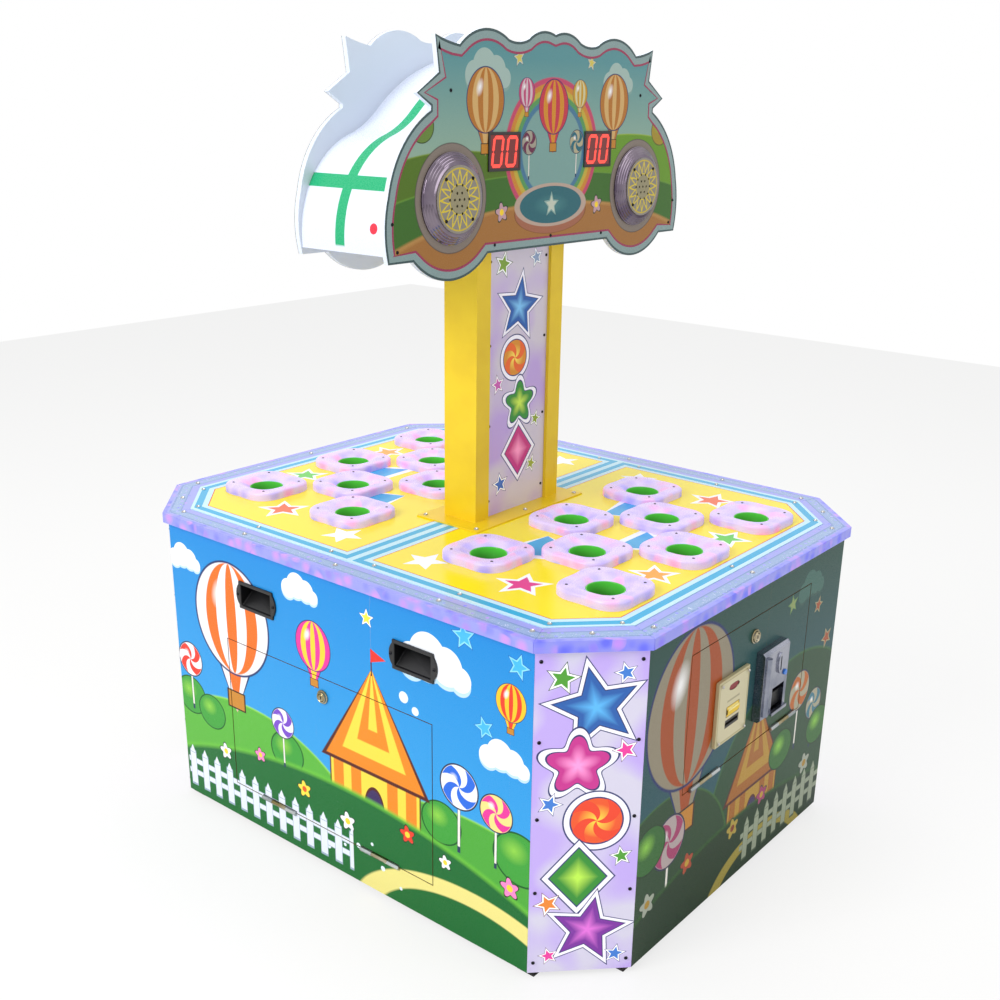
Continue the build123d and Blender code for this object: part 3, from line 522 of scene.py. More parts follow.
for slot, (name, first, second, metallic, gloss, grain, depth) in plain_finishes.items():
    tree = new_material(name, slot)
    at = add_node(tree, "TexCoord")["Object"]
    slow = add_node(tree, "TexNoise", {"Vector": at, "Scale": 14.0, "Detail": 4.0})[0]
    surface(tree, graded(tree, slow, 0.4, 0.65, first, second), gloss, grain, depth, Metallic=metallic)
print("plain finishes", len(materials))

# %% [markdown]
# ## Only the outside is printed
#
# A print lies on one side of its board. How far out a point lies tells that side from the raw edges
# and from the back, which show when a door hangs open.

# %% Printed side
print_skin = 0.0003


def printed_outside(tree, plane, face, bare, picture):
    """The picture where the plane's third number reaches the face, and the bare colour elsewhere."""
    out = add_node(tree, "SeparateXYZ", {0: plane})[2]
    return banded(tree, out, bare, [(face - print_skin, picture)])

# %% [markdown]
# ## The long sides' print
#
# Laminated vinyl, printed in bright flat inks, covers the outside of each board: a sky that deepens
# upwards, hills, and a fairground of balloons, a striped tent and candy. Of the fence below only one
# picket is drawn, and wrapping u round at every picket repeats it.

# %% Side print
board_edge = "#7E6040"
# A matt laminate mirrors less than bare plastic, so that its inks stay deep at a low angle
laminate_specular = 0.22
picket_pitch = 0.044


def printed_board(slot, name, plane_name, face, sky, stamps, fence):
    """Laminated print on the outside of a board; fence gives its start, its end and its two inks."""
    tree = new_material(name, slot)
    plane = add_node(tree, "Group", node_tree=planes_tree)[plane_name]
    u, v, out = add_node(tree, "SeparateXYZ", {0: plane})
    picture = print_stamps(tree, plane, graded(tree, v, *sky), stamps)
    start, end, pale, dark = fence
    known = calculate(
        tree,
        {"u": u, "start": start, "end": end, "right": picket_pitch / 2, "left": -picket_pitch / 2},
        """
        wrapped WRAP u right left
        after GREATER_THAN u start
        before LESS_THAN u end
        both MULTIPLY after before
        """,
    )
    picket_plane = add_node(tree, "CombineXYZ", {0: known["wrapped"], 1: v, 2: out})[0]
    rail = [(1.25, dark), (1.0, pale)]
    pickets = [
        ("Box", (0, 0.068), (picket_pitch, 0.006), 0, rail),
        ("Box", (0, 0.098), (picket_pitch, 0.006), 0, rail),
        ("Box", (0, 0.078), (0.010, 0.042), 0, [(1.12, dark), (1.0, pale)]),
        ("Cone", (0, 0.128), (0.010, 0.010), 0, [(1.15, dark), (1.0, pale)]),
    ]
    fenced = print_stamps(tree, picket_plane, picture, pickets)
    colour = printed_outside(tree, plane, face, board_edge, inked(tree, picture, (known["both"], fenced)))
    surface(tree, colour, (0.24, 0.36), 1.6, 0.04, Specular_IOR_Level=laminate_specular)


sky_inks = ("#46B8F0", "#1560B0", "#8ADCFF")
side_stamps = [
    *each(
        cloud,
        ((0.27, 0.575), 0.085), ((-0.09, 0.625), 0.05), ((0.44, 0.44), 0.055), ((-0.46, 0.60), 0.05),
    ),
    *hill((-0.27, 0.08), (0.36, 0.23), "#5CB43C", "#9ADC4A"),
    *hill((0.36, 0.05), (0.42, 0.24), "#4EA83A", "#92D848"),
    *each(
        bush,
        ((-0.47, 0.27), 0.05), ((-0.40, 0.25), 0.045), ((-0.15, 0.24), 0.05), ((0.29, 0.25), 0.05),
        ((0.48, 0.25), 0.06),
    ),
    *each(
        balloon,
        ((-0.31, 0.500), 0.118, ("#F2F0F6", "#F0701E")), ((-0.055, 0.515), 0.050, ("#E8389C", "#FFD23A")),
        ((0.455, 0.560), 0.034, ("#F6C62A", "#E8402A")),
    ),
    *tent((0.11, 0.40), 0.145, ("#F08A1E", "#F9DA48"), "#E8322A"),
    *hill((0.02, -0.30), (0.95, 0.53), "#146B2E", "#6CC23C"),
    *each(
        lollipop,
        ((-0.465, 0.36), 0.040, ("#F4F0F4", "#E83A2A")), ((0.335, 0.345), 0.046, ("#F4F6FF", "#2A6CE0")),
        ((0.425, 0.325), 0.038, ("#FFE08A", "#E8389C")), ((-0.16, 0.305), 0.034, ("#F4F0FF", "#7A4AC8")),
    ),
    ("Oval", (0.37, -0.045), (0.33, 0.175), 0, [(1.0, "#F0E48A"), (0.8, "#146B2E")]),
    *each(
        flower,
        ((-0.36, 0.165), 0.020, "#F8F8FF"), ((-0.24, 0.200), 0.017, "#FF8AC8"),
        ((-0.10, 0.170), 0.020, "#FFE24A", "#E85A1E"), ((0.03, 0.145), 0.022, "#F8F8FF"),
        ((0.20, 0.185), 0.020, "#E8402A"), ((0.30, 0.165), 0.016, "#F8F8FF"),
        ((0.46, 0.180), 0.022, "#FF8AC8"),
    ),
    *dots(0.006, "#E8F4FF", (0.06, 0.10), (0.13, 0.075), (-0.03, 0.06)),
    *dots(0.004, "#E8F4FF", (0.10, 0.12), (0.02, 0.085), (0.18, 0.05)),
    *each(
        star,
        ((0.345, 0.655), 0.024, 10, *sky_inks), ((0.470, 0.635), 0.022, -14, *sky_inks),
        ((0.395, 0.490), 0.020, 20, *sky_inks), ((0.10, 0.62), 0.017, 0, "#FFE24A", "#1560B0"),
    ),
    *dots(0.012, "#E8F6FF", (0.195, 0.485)),
    *dots(0.009, "#E8F6FF", (0.225, 0.465)),
]
printed_board(
    "side_print", "laminated vinyl print, fairground", "Side", panel_x, (0.25, 0.66, "#35A0E4", "#1C8AD6"),
    side_stamps, (-0.50, 0.045, "#E8EEFA", "#9FB4C8")
)
print("side print", len(side_stamps), "stamps")

# %% [markdown]
# ## The players' ends
#
# The ends carry the same fairground, with its inks darkened as painted shade: a dark teal sky, dark
# grass, and warm ochre and orange in the middle, behind the coin door.

# %% End print
# These inks are darkened as painted shade
end_stamps = [
    *cloud((0.24, 0.60), 0.055, "#3C6A60", "#2C564E"),
    *hill((0.20, 0.16), (0.34, 0.30), "#214A2C", "#3A6A36"),
    *hill((-0.30, 0.10), (0.26, 0.24), "#1E4424", "#3C6C2C"),
    *balloon((-0.225, 0.50), 0.150, ("#968C76", "#A84A12")),
    *tent((0.055, 0.305), 0.120, ("#A8661C", "#BC9232"), "#A8281E"),
    *each(
        lollipop,
        ((-0.275, 0.235), 0.055, ("#B8A8A8", "#A83A6C")), ((0.235, 0.36), 0.046, ("#AFA98F", "#C0661E")),
        ((0.315, 0.30), 0.036, ("#AFA98F", "#3A7A8C")),
    ),
    *each(
        bush,
        ((-0.345, 0.25), 0.055, "#2E6A2A", "#143A18"), ((0.17, 0.245), 0.050, "#336E2C", "#143A18"),
        ((0.345, 0.235), 0.050, "#336E2C", "#143A18"),
    ),
    *hill((0.0, -0.28), (0.80, 0.45), "#0F3316", "#28581E"),
    *each(
        flower,
        ((-0.34, 0.130), 0.026, "#A8B0A0", "#B08A2A"), ((-0.20, 0.150), 0.024, "#B0482A", "#C8A030"),
        ((-0.02, 0.140), 0.024, "#B8A040", "#8A3A1E"), ((0.10, 0.165), 0.022, "#A83A6C", "#C8A030"),
        ((0.30, 0.155), 0.026, "#A8B0A0", "#B08A2A"),
    ),
    ("Oval", (0.10, -0.03), (0.22, 0.12), 0, [(1.0, "#A8983C"), (0.80, "#0F3316")]),
    *each(
        star,
        ((0.16, 0.585), 0.020, 10, "#8FA060", "#1E3A2E", "#5E8A5A"),
        ((0.285, 0.545), 0.018, -14, "#A8502A", "#1E3A2E", "#A8A480"),
        ((0.345, 0.450), 0.022, 20, "#A8502A", "#1E3A2E", "#A8A480"),
    ),
]
# The sky and fence inks are darkened as painted shade too
printed_board(
    "end_print", "laminated vinyl print, fairground in painted shade", "End", panel_y,
    (0.30, 0.66, "#1E5460", "#1C4A40"), end_stamps, (0.02, 0.40, "#9FAA92", "#4A5E48")
)
print("end print", len(end_stamps), "stamps")

# %% [markdown]
# ## Lit panels
#
# The corner and column panels are opal acrylic with lamps behind. Large shapes stand on a lilac
# ground, each with a white halo inside a dark line. The emission is weak, so that a panel still takes
# light and shade from the room.

# %% Lit panels
def lit_panel(slot, name, plane_name, face, first, second, stamps, glow):
    """Printed opal acrylic, lit from behind with an uneven violet light."""
    tree = new_material(name, slot)
    plane = add_node(tree, "Group", node_tree=planes_tree)[plane_name]
    at = add_node(tree, "TexCoord")["Object"]
    patches = add_node(tree, "TexNoise", {"Vector": at, "Scale": 9.0, "Detail": 1.0})[0]
    shine = graded(tree, patches, 0.42, 0.62, first, second)
    colour = printed_outside(tree, plane, face, shine, print_stamps(tree, plane, shine, stamps))
    surface(tree, colour, (0.16, 0.26), 3.0, 0.02, glow)


def motif(kind, place, size, turn, colours):
    """A large lit shape: dark line, white halo, and two inks that grade into each other."""
    first, second = colours
    inks = [(1.26, "#1C2A66"), (1.2, "#F6F4FF"), (1.0, "#1C2A66"), (0.94, first), (0.7, second, 0.6)]
    return [(kind, place, size, turn, inks)]


corner_stamps = [
    *each(
        motif,
        ("Star", (0.010, 0.565), 0.082, 12, ("#1F5AA8", "#58B4F0")),
        ("Flower", (-0.018, 0.452), 0.062, 0, ("#C42A8C", "#FF9AD8")),
        ("Oval", (0.020, 0.338), 0.050, 0, ("#E8541E", "#FFD040")),
    ),
    ("Swirl", (0.020, 0.338), 0.048, 0, [(1.0, "#E8401E")]),
    *motif("Diamond", (-0.010, 0.220), (0.056, 0.066), 0, ("#2C8A2A", "#B8E84A")),
    *motif("Star", (0.012, 0.105), 0.074, -10, ("#7A2A9C", "#E070D8")),
    *each(
        star,
        ((-0.050, 0.622), 0.026, -12, "#4A9A2A", "#1E4A1E"),
        ((0.060, 0.630), 0.018, 16, "#3A7AD0", "#1E2E7A"),
        ((0.066, 0.480), 0.020, 20, "#E83A9C", "#5A1E5A"),
        ((-0.066, 0.375), 0.020, -20, "#3A7AD0", "#1E2E7A"),
        ((0.068, 0.262), 0.018, 10, "#4A9A2A", "#1E4A1E"),
        ((-0.064, 0.165), 0.022, 24, "#E8842A", "#6A2A1E"),
        ((0.066, 0.048), 0.018, -10, "#3A7AD0", "#1E2E7A"),
        ((-0.060, 0.050), 0.016, 14, "#E83A9C", "#5A1E5A"),
    ),
]
column_stamps = [
    *motif("Star", (0.004, 1.140), 0.066, -8, ("#1F5AA8", "#7AC0F0")),
    *motif("Oval", (-0.008, 1.035), 0.040, 0, ("#D88A1E", "#FFE05A")),
    ("Swirl", (-0.008, 1.035), 0.038, 0, [(1.0, "#E8641E")]),
    *motif("Flower", (0.010, 0.935), 0.050, 0, ("#2C8A2A", "#C8E84A")),
    *motif("Diamond", (0.008, 0.830), (0.048, 0.058), 0, ("#C42A7C", "#FF9AC8")),
    *each(
        star,
        ((-0.050, 1.232), 0.024, -14, "#7AA02A", "#2E4A1E"),
        ((0.058, 1.238), 0.018, 12, "#8AA0C0", "#2E3A6A"),
        ((-0.064, 0.985), 0.018, 10, "#C85AB0", "#5A1E5A"),
        ((0.066, 0.890), 0.016, -16, "#8AA02A", "#2E4A1E"),
        ((-0.052, 0.765), 0.022, 8, "#3A6AC0", "#1E2E7A"),
        ((0.054, 0.790), 0.017, -20, "#9AA82A", "#2E4A1E"),
    ),
]
column_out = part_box("column_light_panels")[1].y
lit_panel(
    "corner_acrylic", "lit opal acrylic, corner", "Corner", corner_out, "#D0CCE0", "#BDA6EA",
    corner_stamps, 0.18
)
lit_panel(
    "column_acrylic", "lit opal acrylic, column", "End", column_out, "#CDC5D2", "#BCA2DC",
    column_stamps, 0.10
)
print("lit panels", len(corner_stamps), "and", len(column_stamps), "stamps")

# %% [markdown]
# ## The playfield
#
# A printed polycarbonate sheet covers each half of the deck. Its bands follow the yellow field's edge,
# and stars and blue wedges lie between the rings.

# %% Playfield print
tree = new_material("printed polycarbonate playfield", "playfield_print")
planes = add_node(tree, "Group", node_tree=planes_tree)
band_blue, line_white = "#BFE6F5", "#F7FAFF"
field_bands = ((-0.0298, "#1FA8D8"), (-0.0142, band_blue), (-0.0022, "#D2402A"), (0.0, "#F7E21A"))
wedges = [
    ("Cone", place, size, turn, [(1.3, "#F2F8FF"), (1.0, "#2CA6E0")])
    for place, size, turn in (
        ((0.15, -0.235), (0.085, 0.060), 60),
        ((-0.15, -0.235), (0.085, 0.060), -60),
        ((0.0, -0.395), (0.062, 0.050), 180),
    )
]
stars = [
    star(place, size, turn, ink, line_white, line_white)[0]
    for place, size, turn, ink in (
        ((-0.345, -0.335), 0.046, 8, "#E0348C"),
        ((0.345, -0.335), 0.046, -8, "#F0642A"),
        ((-0.138, -0.492), 0.042, 14, "#F5A21E"),
        ((0.138, -0.492), 0.042, -14, "#58C83A"),
        ((-0.375, -0.115), 0.036, -10, "#F8FAFF"),
        ((0.375, -0.115), 0.036, 10, "#F8FAFF"),
    )
]
colour = banded(tree, planes["Field"], band_blue, field_bands)
surface(tree, print_stamps(tree, planes["Deck"], colour, wedges + stars), (0.14, 0.24), 2.5, 0.02)
print("playfield print", len(field_bands), "bands,", len(wedges), "wedges,", len(stars), "stars")

# %% [markdown]
# ## The lit rings
#
# The rings are milky polycarbonate over pink and blue lamps, which it blurs to soft round spots. A
# smooth Voronoi texture at about the lamps' spacing gives each cell one of the two colours. The spots
# are strongest low on the wall.

# %% Ring plastic
lamp_spacing = 32 * millimetre
deck_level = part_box("playfield_overlays")[1].z
ring_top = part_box("light_rings")[1].z


def lamp_glow(tree, spacing, base, first, second, strength):
    """A base colour with a soft spot of one of two inks in each cell of the lamps' spacing."""
    at = add_node(tree, "TexCoord")["Object"]
    feeds = {"Vector": at, "Scale": 1 / spacing, "Randomness": 0.7, "Smoothness": 0.55}
    cells = add_node(tree, "TexVoronoi", feeds, feature="SMOOTH_F1")
    which = add_node(tree, "SeparateColor", {0: cells["Color"]})[0]
    lamp = graded(tree, which, 0.38, 0.62, first, second)
    feeds = {0: cells["Distance"], 1: 0.72, 2: 0.12}
    near = add_node(tree, "MapRange", feeds, interpolation_type="SMOOTHSTEP")[0]
    share = calculate(tree, {"near": near, "strength": strength}, "share MULTIPLY near strength")["share"]
    return inked(tree, base, (share, lamp))


tree = new_material("milky polycarbonate over lamps", "ring_plastic")
height = add_node(tree, "SeparateXYZ", {0: add_node(tree, "TexCoord")["Object"]})[2]
low_down = add_node(tree, "MapRange", {0: height, 1: deck_level, 2: ring_top, 3: 0.95, 4: 0.3})[0]
colour = lamp_glow(tree, lamp_spacing, "#CDBBE4", "#8A84F4", "#F684C2", low_down)
surface(tree, colour, (0.22, 0.34), 2.0, 0.03, glow=0.24)

# %% [markdown]
# ## The green linings
#
# The linings are thin, glossy, moulded polypropylene. Their green is painted dark down in the hole as
# painted shade and bright at the lip as a painted highlight. A faint glow is painted light of the lamps
# round them, which shine through the wall, so the green keeps its colour even down in the shade of the hole.

# %% Lining plastic
tree = new_material("translucent green polypropylene", "sleeve_plastic")
height = add_node(tree, "SeparateXYZ", {0: add_node(tree, "TexCoord")["Object"]})[2]
# Painted shade darkens the green down in the hole, a painted highlight lights the lip, and the glow is
# painted light
shaded, lit_lip = ring_top - 0.055, ring_top - 0.012
green = graded(tree, height, shaded, lit_lip, "#0F5A1C", "#4FC040")
surface(tree, green, (0.14, 0.26), 3.0, 0.04, glow=0.16)

# %% [markdown]
# ## The clear rim
#
# The rim is a clear acrylic channel. Through it show a row of lamps near each edge, a blue stripe and
# etched curls. Clear plastic over real lamps would render slowly, so the bands are coloured by how far
# they lie inside the rim's edge, and the surface keeps acrylic's gloss.

# %% Rim acrylic
rim_lamp_spacing, rim_dot_spacing = 25 * millimetre, 17 * millimetre
curl_line = 0.008
curls_start, curls_end = 0.013, 0.032
rim_bands = (
    (0.009, "#8E98DA"),
    (0.013, "#7088BC"),
    (0.017, "#86A0C8"),
    (0.036, "#7088BC"),
    (0.039, "#9298DC"),
)
tree = new_material("clear acrylic over lamps", "rim_acrylic")
rim = add_node(tree, "Group", node_tree=planes_tree)["Rim"]
glow = lamp_glow(tree, rim_lamp_spacing, "#8F92EA", "#565EF6", "#C88CF2", 0.8)
at = add_node(tree, "TexCoord")["Object"]
feeds = {"Vector": at, "Scale": 1 / rim_dot_spacing, "Randomness": 0.35}
centre = add_node(tree, "TexVoronoi", feeds)["Distance"]
spot = add_node(tree, "MapRange", {0: centre, 1: 0.28, 2: 0.12})[0]
curls = add_node(tree, "TexNoise", {"Vector": at, "Scale": 60.0, "Detail": 0.0, "Distortion": 3.0})[0]
etched = calculate(
    tree,
    {"noise": curls, "rim": rim, "curl_line": curl_line, "curls_start": curls_start, "curls_end": curls_end},
    """
    shifted SUBTRACT noise 0.5
    apart ABSOLUTE shifted
    line LESS_THAN apart curl_line
    past GREATER_THAN rim curls_start
    short LESS_THAN rim curls_end
    band MULTIPLY past short
    drawn MULTIPLY band line
    """,
)["drawn"]
colour = inked(tree, banded(tree, rim, glow, rim_bands), (spot, glow), (etched, "#C8D2EE"))
surface(tree, colour, (0.05, 0.12), 3.0, 0.02, glow=0.14)

# %% [markdown]
# ## The roof and the header's boards
#
# The roof is a white powder-coated sheet with a red dot and two strips of green tape: one lies level
# on its sides, and the other runs up the sides and over the top. The header's faces are white foamed
# PVC board, which shows at the edges and at the back.

# %% Roof sheet and header board
tape_green = "#14A870"
tree = new_material("white powder-coated sheet with tape", "roof_sheet")
_, y, z = add_node(tree, "SeparateXYZ", {0: add_node(tree, "TexCoord")["Object"]})
side_view = add_node(tree, "CombineXYZ", {0: y, 1: z})[0]
tape_stamps = [
    ("Box", (0.0, 1.4045), (0.2, 0.0115), 0, [(1.0, tape_green)]),
    ("Box", (0.004, 1.494), (0.012, 0.2), 0, [(1.0, tape_green)]),
    *dots(0.0095, "#E02840", (-0.080, 1.331)),
]
surface(tree, print_stamps(tree, side_view, "#DDE4F4", tape_stamps), (0.22, 0.34), 1.8, 0.05)
surface(new_material("white foamed PVC board", "header_print"), "#DCE4F0", (0.35, 0.5), 1.2, 0.06)

# %% [markdown]
# ## The speaker grille
#
# A round plate of painted steel, with a yellow sun printed round its holes.

# %% Grille steel
speaker_x, speaker_z = 0.298, 1.376
speaker_seats = [("Oval", (u, speaker_z)) for u in (-speaker_x, speaker_x)]
grille_stamps = [
    (shape, place, size, 0, inks)
    for _, place in speaker_seats
    for shape, size, inks in (
        ("Oval", 0.056, [(1.0, "#C8B030"), (0.95, "#8A8478")]),
        ("Rays", 0.044, [(1.24, "#D8C02C"), (1.06, "#8A8478")]),
        ("Oval", 0.028, [(1.0, "#D8C02C"), (0.93, "#948C6C")]),
    )
]
tree = new_material("printed steel grille", "grille_steel")
plane = add_node(tree, "Group", node_tree=planes_tree)["End"]
surface(tree, print_stamps(tree, plane, "#8E887E", grille_stamps), (0.3, 0.45), 1.0, 0.05, Metallic=0.3)

# %% [markdown]
# ## The payment plate
#
# A textured ABS moulding with a dark red window, a yellow lens and a black card slot. The front and
# back plates lie alike in the ends' coordinates, so one small print serves both.

# %% Plate plastic
plate_u, plate_z = -0.081, 0.448
plate_stamps = scaled(
    (plate_u, plate_z),
    millimetre,
    ("Box", 0, 0, 55, 66, 0, [(1.0, "#A89A68"), (0.975, "#D6CDA8")]),
    ("Oval", 0, 46, 18, 6.5, 0, [(1.12, "#4A3A30"), (1.0, "#8A1420")]),
    ("Box", 0, 19, 24, 2.2, 0, [(1.0, "#B0A684")]),
    ("Box", 0, -4, 24, 11, 0, [(1.06, "#6A5A2A"), (0.96, "#F0C820")]),
    ("Box", 0, 1, 20, 2.8, 0, [(1.0, "#FFF0A0")]),
    ("Box", 0, -30, 26, 8.5, 0, [(1.05, "#8A8060"), (0.98, "#26241F")]),
)
tree = new_material("textured cream ABS", "plate_plastic")
plane = add_node(tree, "Group", node_tree=planes_tree)["End"]
picture = print_stamps(tree, plane, "#C9BE92", plate_stamps)
surface(tree, printed_outside(tree, plane, panel_y, "#4A4A46", picture), (0.36, 0.5), 0.8, 0.06)
print("materials so far", len(materials))

# %% [markdown]
# ## Dressing the CAD pieces
#
# Each node takes the material of its slot. The boards are an exception: one slot covers them all, but
# the long sides and the ends carry different prints.

# %% Materials on the nodes
side_boards = ("left_side_panel", "right_side_panel", "side_door")
end_boards = ("end_panels", "front_coin_door", "back_coin_door")
print_of_node = dict.fromkeys(side_boards, "side_print") | dict.fromkeys(end_boards, "end_print")
for name, piece in nodes.items():
    chosen = materials[print_of_node.get(name, node_slots[name])]
    if not piece.material_slots:
        piece.data.materials.append(chosen)
    for place in piece.material_slots:
        place.material = chosen
print("dressed", len(nodes), "nodes in", len(materials), "materials")

# %% [markdown]
# ## Soft edges
#
# Sheared, cast and moulded edges are never razor sharp, and catch a thin bright line. A Weld joins
# the CAD mesh's loose triangles, and a Bevel rounds what turns by more than its angle.

# %% Bevels
# Radii in millimetres, and the nodes that have them
edge_radii = {
    1.6: ("carry_handles",),
    1.5: ("front_payment_plate", "back_payment_plate"),
    1.2: ("front_coin_mech", "back_coin_mech"),
    1.0: ("rim_strips",),
    0.8: ("score_displays", "header_face_panels"),
    0.5: (
        "column_shell", "side_door", "front_coin_door", "back_coin_door",
        "front_door_hardware", "back_door_hardware", "side_door_hardware",
    ),
}
for radius, names in edge_radii.items():
    for name in names:
        weld = nodes[name].modifiers.new("joined corners", "WELD")
        weld.merge_threshold = 1e-5
        rounded = nodes[name].modifiers.new("soft edges", "BEVEL")
        rounded.width = radius * millimetre
        rounded.segments = 2
        rounded.angle_limit = radians(30)
        rounded.use_clamp_overlap = True
print("bevelled", sum(len(names) for names in edge_radii.values()), "nodes")

# %% [markdown]
# ## Making new pieces
#
# A turned piece is a profile spun about the Z axis, as on a lathe. A master shape is made once, and
# copies of it are gathered into one mesh, which then becomes a piece that rides on its body.

# %% Piece functions
def turned(profile, steps, closed=True):
    """A shape turned about the Z axis from points given as radius and height."""
    shape = bmesh.new()
    points = [shape.verts.new((r, 0, z)) for r, z in profile]
    ends = points[1:] + points[:1] if closed else points[1:]
    edges = [shape.edges.new(pair) for pair in zip(points, ends)]
    bmesh.ops.spin(
        shape, geom=points + edges, cent=(0, 0, 0), axis=(0, 0, 1), angle=2 * pi, steps=steps, use_merge=True
    )
    bmesh.ops.remove_doubles(shape, verts=shape.verts, dist=1e-6)
    bmesh.ops.recalc_face_normals(shape, faces=shape.faces)
    return shape


def arc(centre, size, start, end, steps):
    """Points of an arc in a profile, with its angles in degrees from the outward direction."""
    turns = [radians(start + (end - start) * step / steps) for step in range(steps + 1)]
    return [(centre[0] + size[0] * cos(turn), centre[1] + size[1] * sin(turn)) for turn in turns]


def gathered(master, places):
    """One shape with a copy of the master at each place; the master is used up."""
    mesh = bpy.data.meshes.new("master")
    master.to_mesh(mesh)
    master.free()
    joined = bmesh.new()
    for place in places:
        before = len(joined.verts)
        joined.from_mesh(mesh)
        joined.verts.ensure_lookup_table()
        bmesh.ops.transform(joined, matrix=place, verts=joined.verts[before:])
    bpy.data.meshes.remove(mesh)
    return joined


def facing(place, outward, turn=0.0):
    """A placement whose Z axis points outward from the place, turned about it in degrees."""
    aim = Vector(outward).to_track_quat("Z", "Y").to_matrix().to_4x4()
    return Matrix.Translation(place) @ aim @ Matrix.Rotation(radians(turn), 4, "Z")


def cube(size, lift=0.0):
    """A box of a size, with its middle lifted off z = 0."""
    shape = bmesh.new()
    bmesh.ops.create_cube(shape, size=1.0)
    bmesh.ops.scale(shape, verts=shape.verts, vec=size)
    bmesh.ops.translate(shape, verts=shape.verts, vec=(0, 0, lift))
    return shape


def extruded(shape, rise):
    """A flat shape with its thickness, grown along a direction."""
    grown = bmesh.ops.extrude_face_region(shape, geom=shape.faces[:])["geom"]
    corners = [part for part in grown if isinstance(part, bmesh.types.BMVert)]
    bmesh.ops.translate(shape, verts=corners, vec=rise)
    bmesh.ops.recalc_face_normals(shape, faces=shape.faces)
    return shape


def finished(shape, name, slot, *finishes, body="cabinet", sharp=35):
    """Makes the shape a piece that rides on a body and is smooth up to a sharp angle. It has its slot's
    material, unless other finishes are given."""
    mesh = bpy.data.meshes.new(name)
    shape.to_mesh(mesh)
    shape.free()
    for finish in finishes or (slot,):
        mesh.materials.append(materials[finish])
    mesh.shade_smooth()
    mesh.set_sharp_from_angle(angle=radians(sharp))
    piece = bpy.data.objects.new(name, mesh)
    scene.collection.objects.link(piece)
    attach(piece, body)
    return piece


# The machine is the same to the left and right, and to the front and back
quarters = [(a, b) for a in (1, -1) for b in (1, -1)]


def on_both_ends(x, out, z):
    """Placements to the left and right on both ends, facing outward."""
    return [facing((a * x, b * out, z), (0, b, 0)) for a, b in quarters]

# %% [markdown]
# ## Rings and sleeves
#
# Each ring is turned from a profile with a round shoulder and a dish, and then pushed out towards its
# four screws: the push is a cosine of four times the angle, and fades to nothing at the hole. The
# sleeves are plain turned tubes with a rounded lip.

# %% Hole places
hole_pitch, first_row, row_step = 0.2745, 0.192, 0.141
front_holes = [
    (share * hole_pitch, -(first_row + row * row_step))
    for row, shares in enumerate(((-1, 0, 1), (-0.5, 0.5), (-1, 0, 1)))
    for share in shares
]
holes = front_holes + [(-x, -y) for x, y in front_holes]
hole_frames = [Matrix.Translation((x, y, 0)) for x, y in holes]

# %% Light rings
ring_radius, ring_lobe, ring_bore, dish_radius = 0.084, 0.0075, 0.0379, 0.058
shoulder = 0.006
ring_profile = [
    (ring_bore, deck_level),
    (ring_bore, ring_top - 0.010),
    (0.046, ring_top - 0.0048),
    *arc((dish_radius, ring_top - 0.006), (0.008, 0.0055), 120, 90, 3),
    *arc((ring_radius - shoulder, ring_top - shoulder), (shoulder, shoulder), 90, 0, 5),
    (ring_radius, deck_level),
]
ring = turned(ring_profile, 64)
for vertex in ring.verts:
    x, y, _ = vertex.co
    distance = sqrt(x * x + y * y)
    share = (distance - ring_bore) / (ring_radius - ring_bore)
    cos_four = 1 - 8 * (x * y / distance**2) ** 2
    push = 1 - ring_lobe * cos_four * share / distance
    vertex.co.x, vertex.co.y = x * push, y * push
rings = finished(gathered(ring, hole_frames), "lit_rings", "ring_plastic")
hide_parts("light_rings")
print("rings", len(holes))

# %% Sleeves
sleeve_low, sleeve_high = (corner.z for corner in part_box("hole_sleeves"))
sleeve_in, sleeve_out, lip = 0.035, 0.0375, 0.0012
sleeve_profile = [
    (sleeve_in, sleeve_low),
    (sleeve_out, sleeve_low),
    (sleeve_out, sleeve_high - lip),
    *arc(((sleeve_in + sleeve_out) / 2, sleeve_high - lip), ((sleeve_out - sleeve_in) / 2, lip), 30, 150, 4),
    (sleeve_in, sleeve_high - lip),
]
sleeves = finished(gathered(turned(sleeve_profile, 48), hole_frames), "hole_linings", "sleeve_plastic")
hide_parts("hole_sleeves")
print("linings", len(holes))

# %% [markdown]
# ## The moles
#
# A mole is a hollow moulding on a steel rod. Its dome is half an ellipse, with a shallow groove below
# it, and the collar on the rod stands on the solenoid. Each rides on its own body.

# %% Moles
head, rod, collar, dome = 0.031, 0.0052, 0.0094, 0.024
head_tall, collar_tall, collar_place = 0.070, 0.006, 0.1003
mole_names = [f"mole_{end}_{number}" for end in ("front", "back") for number in range(1, 9)]
for name, (x, y) in zip(mole_names, holes):
    low, high = (corner.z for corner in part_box(name))
    head_low, collar_low = high - head_tall, low + collar_place
    profile = [
        (0, low),
        (rod, low + 0.001),
        (rod, collar_low),
        (collar, collar_low),
        (collar, collar_low + collar_tall),
        (rod, collar_low + collar_tall),
        (rod, head_low),
        (head - 0.002, head_low),
        (head, head_low + 0.002),
        (head, high - dome - 0.006),
        (head - 0.0012, high - dome - 0.004),
        (head, high - dome - 0.002),
        *arc((0, high - dome), (head, dome), 0, 90, 8),
    ]
    mole = gathered(turned(profile, 32, closed=False), [Matrix.Translation((x, y, 0))])
    piece = finished(mole, f"{name}_dome", "mole_plastic", body=name)
    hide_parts(name)
print("moles", len(holes))

# %% [markdown]
# ## Screws
#
# Screws hold every panel, ring and strip, and their bright heads mark the machine's rhythm. One button
# head with a socket is the master. It has few faces, because there are well over a hundred.

# %% Screw places
surface(new_material("zinc-plated screw steel"), "#B8B6B2", (0.18, 0.35), 0.8, 0.03, Metallic=1.0)
surface(new_material("blackened screw steel"), "#2A2A2E", (0.25, 0.4), 0.8, 0.03, Metallic=1.0)


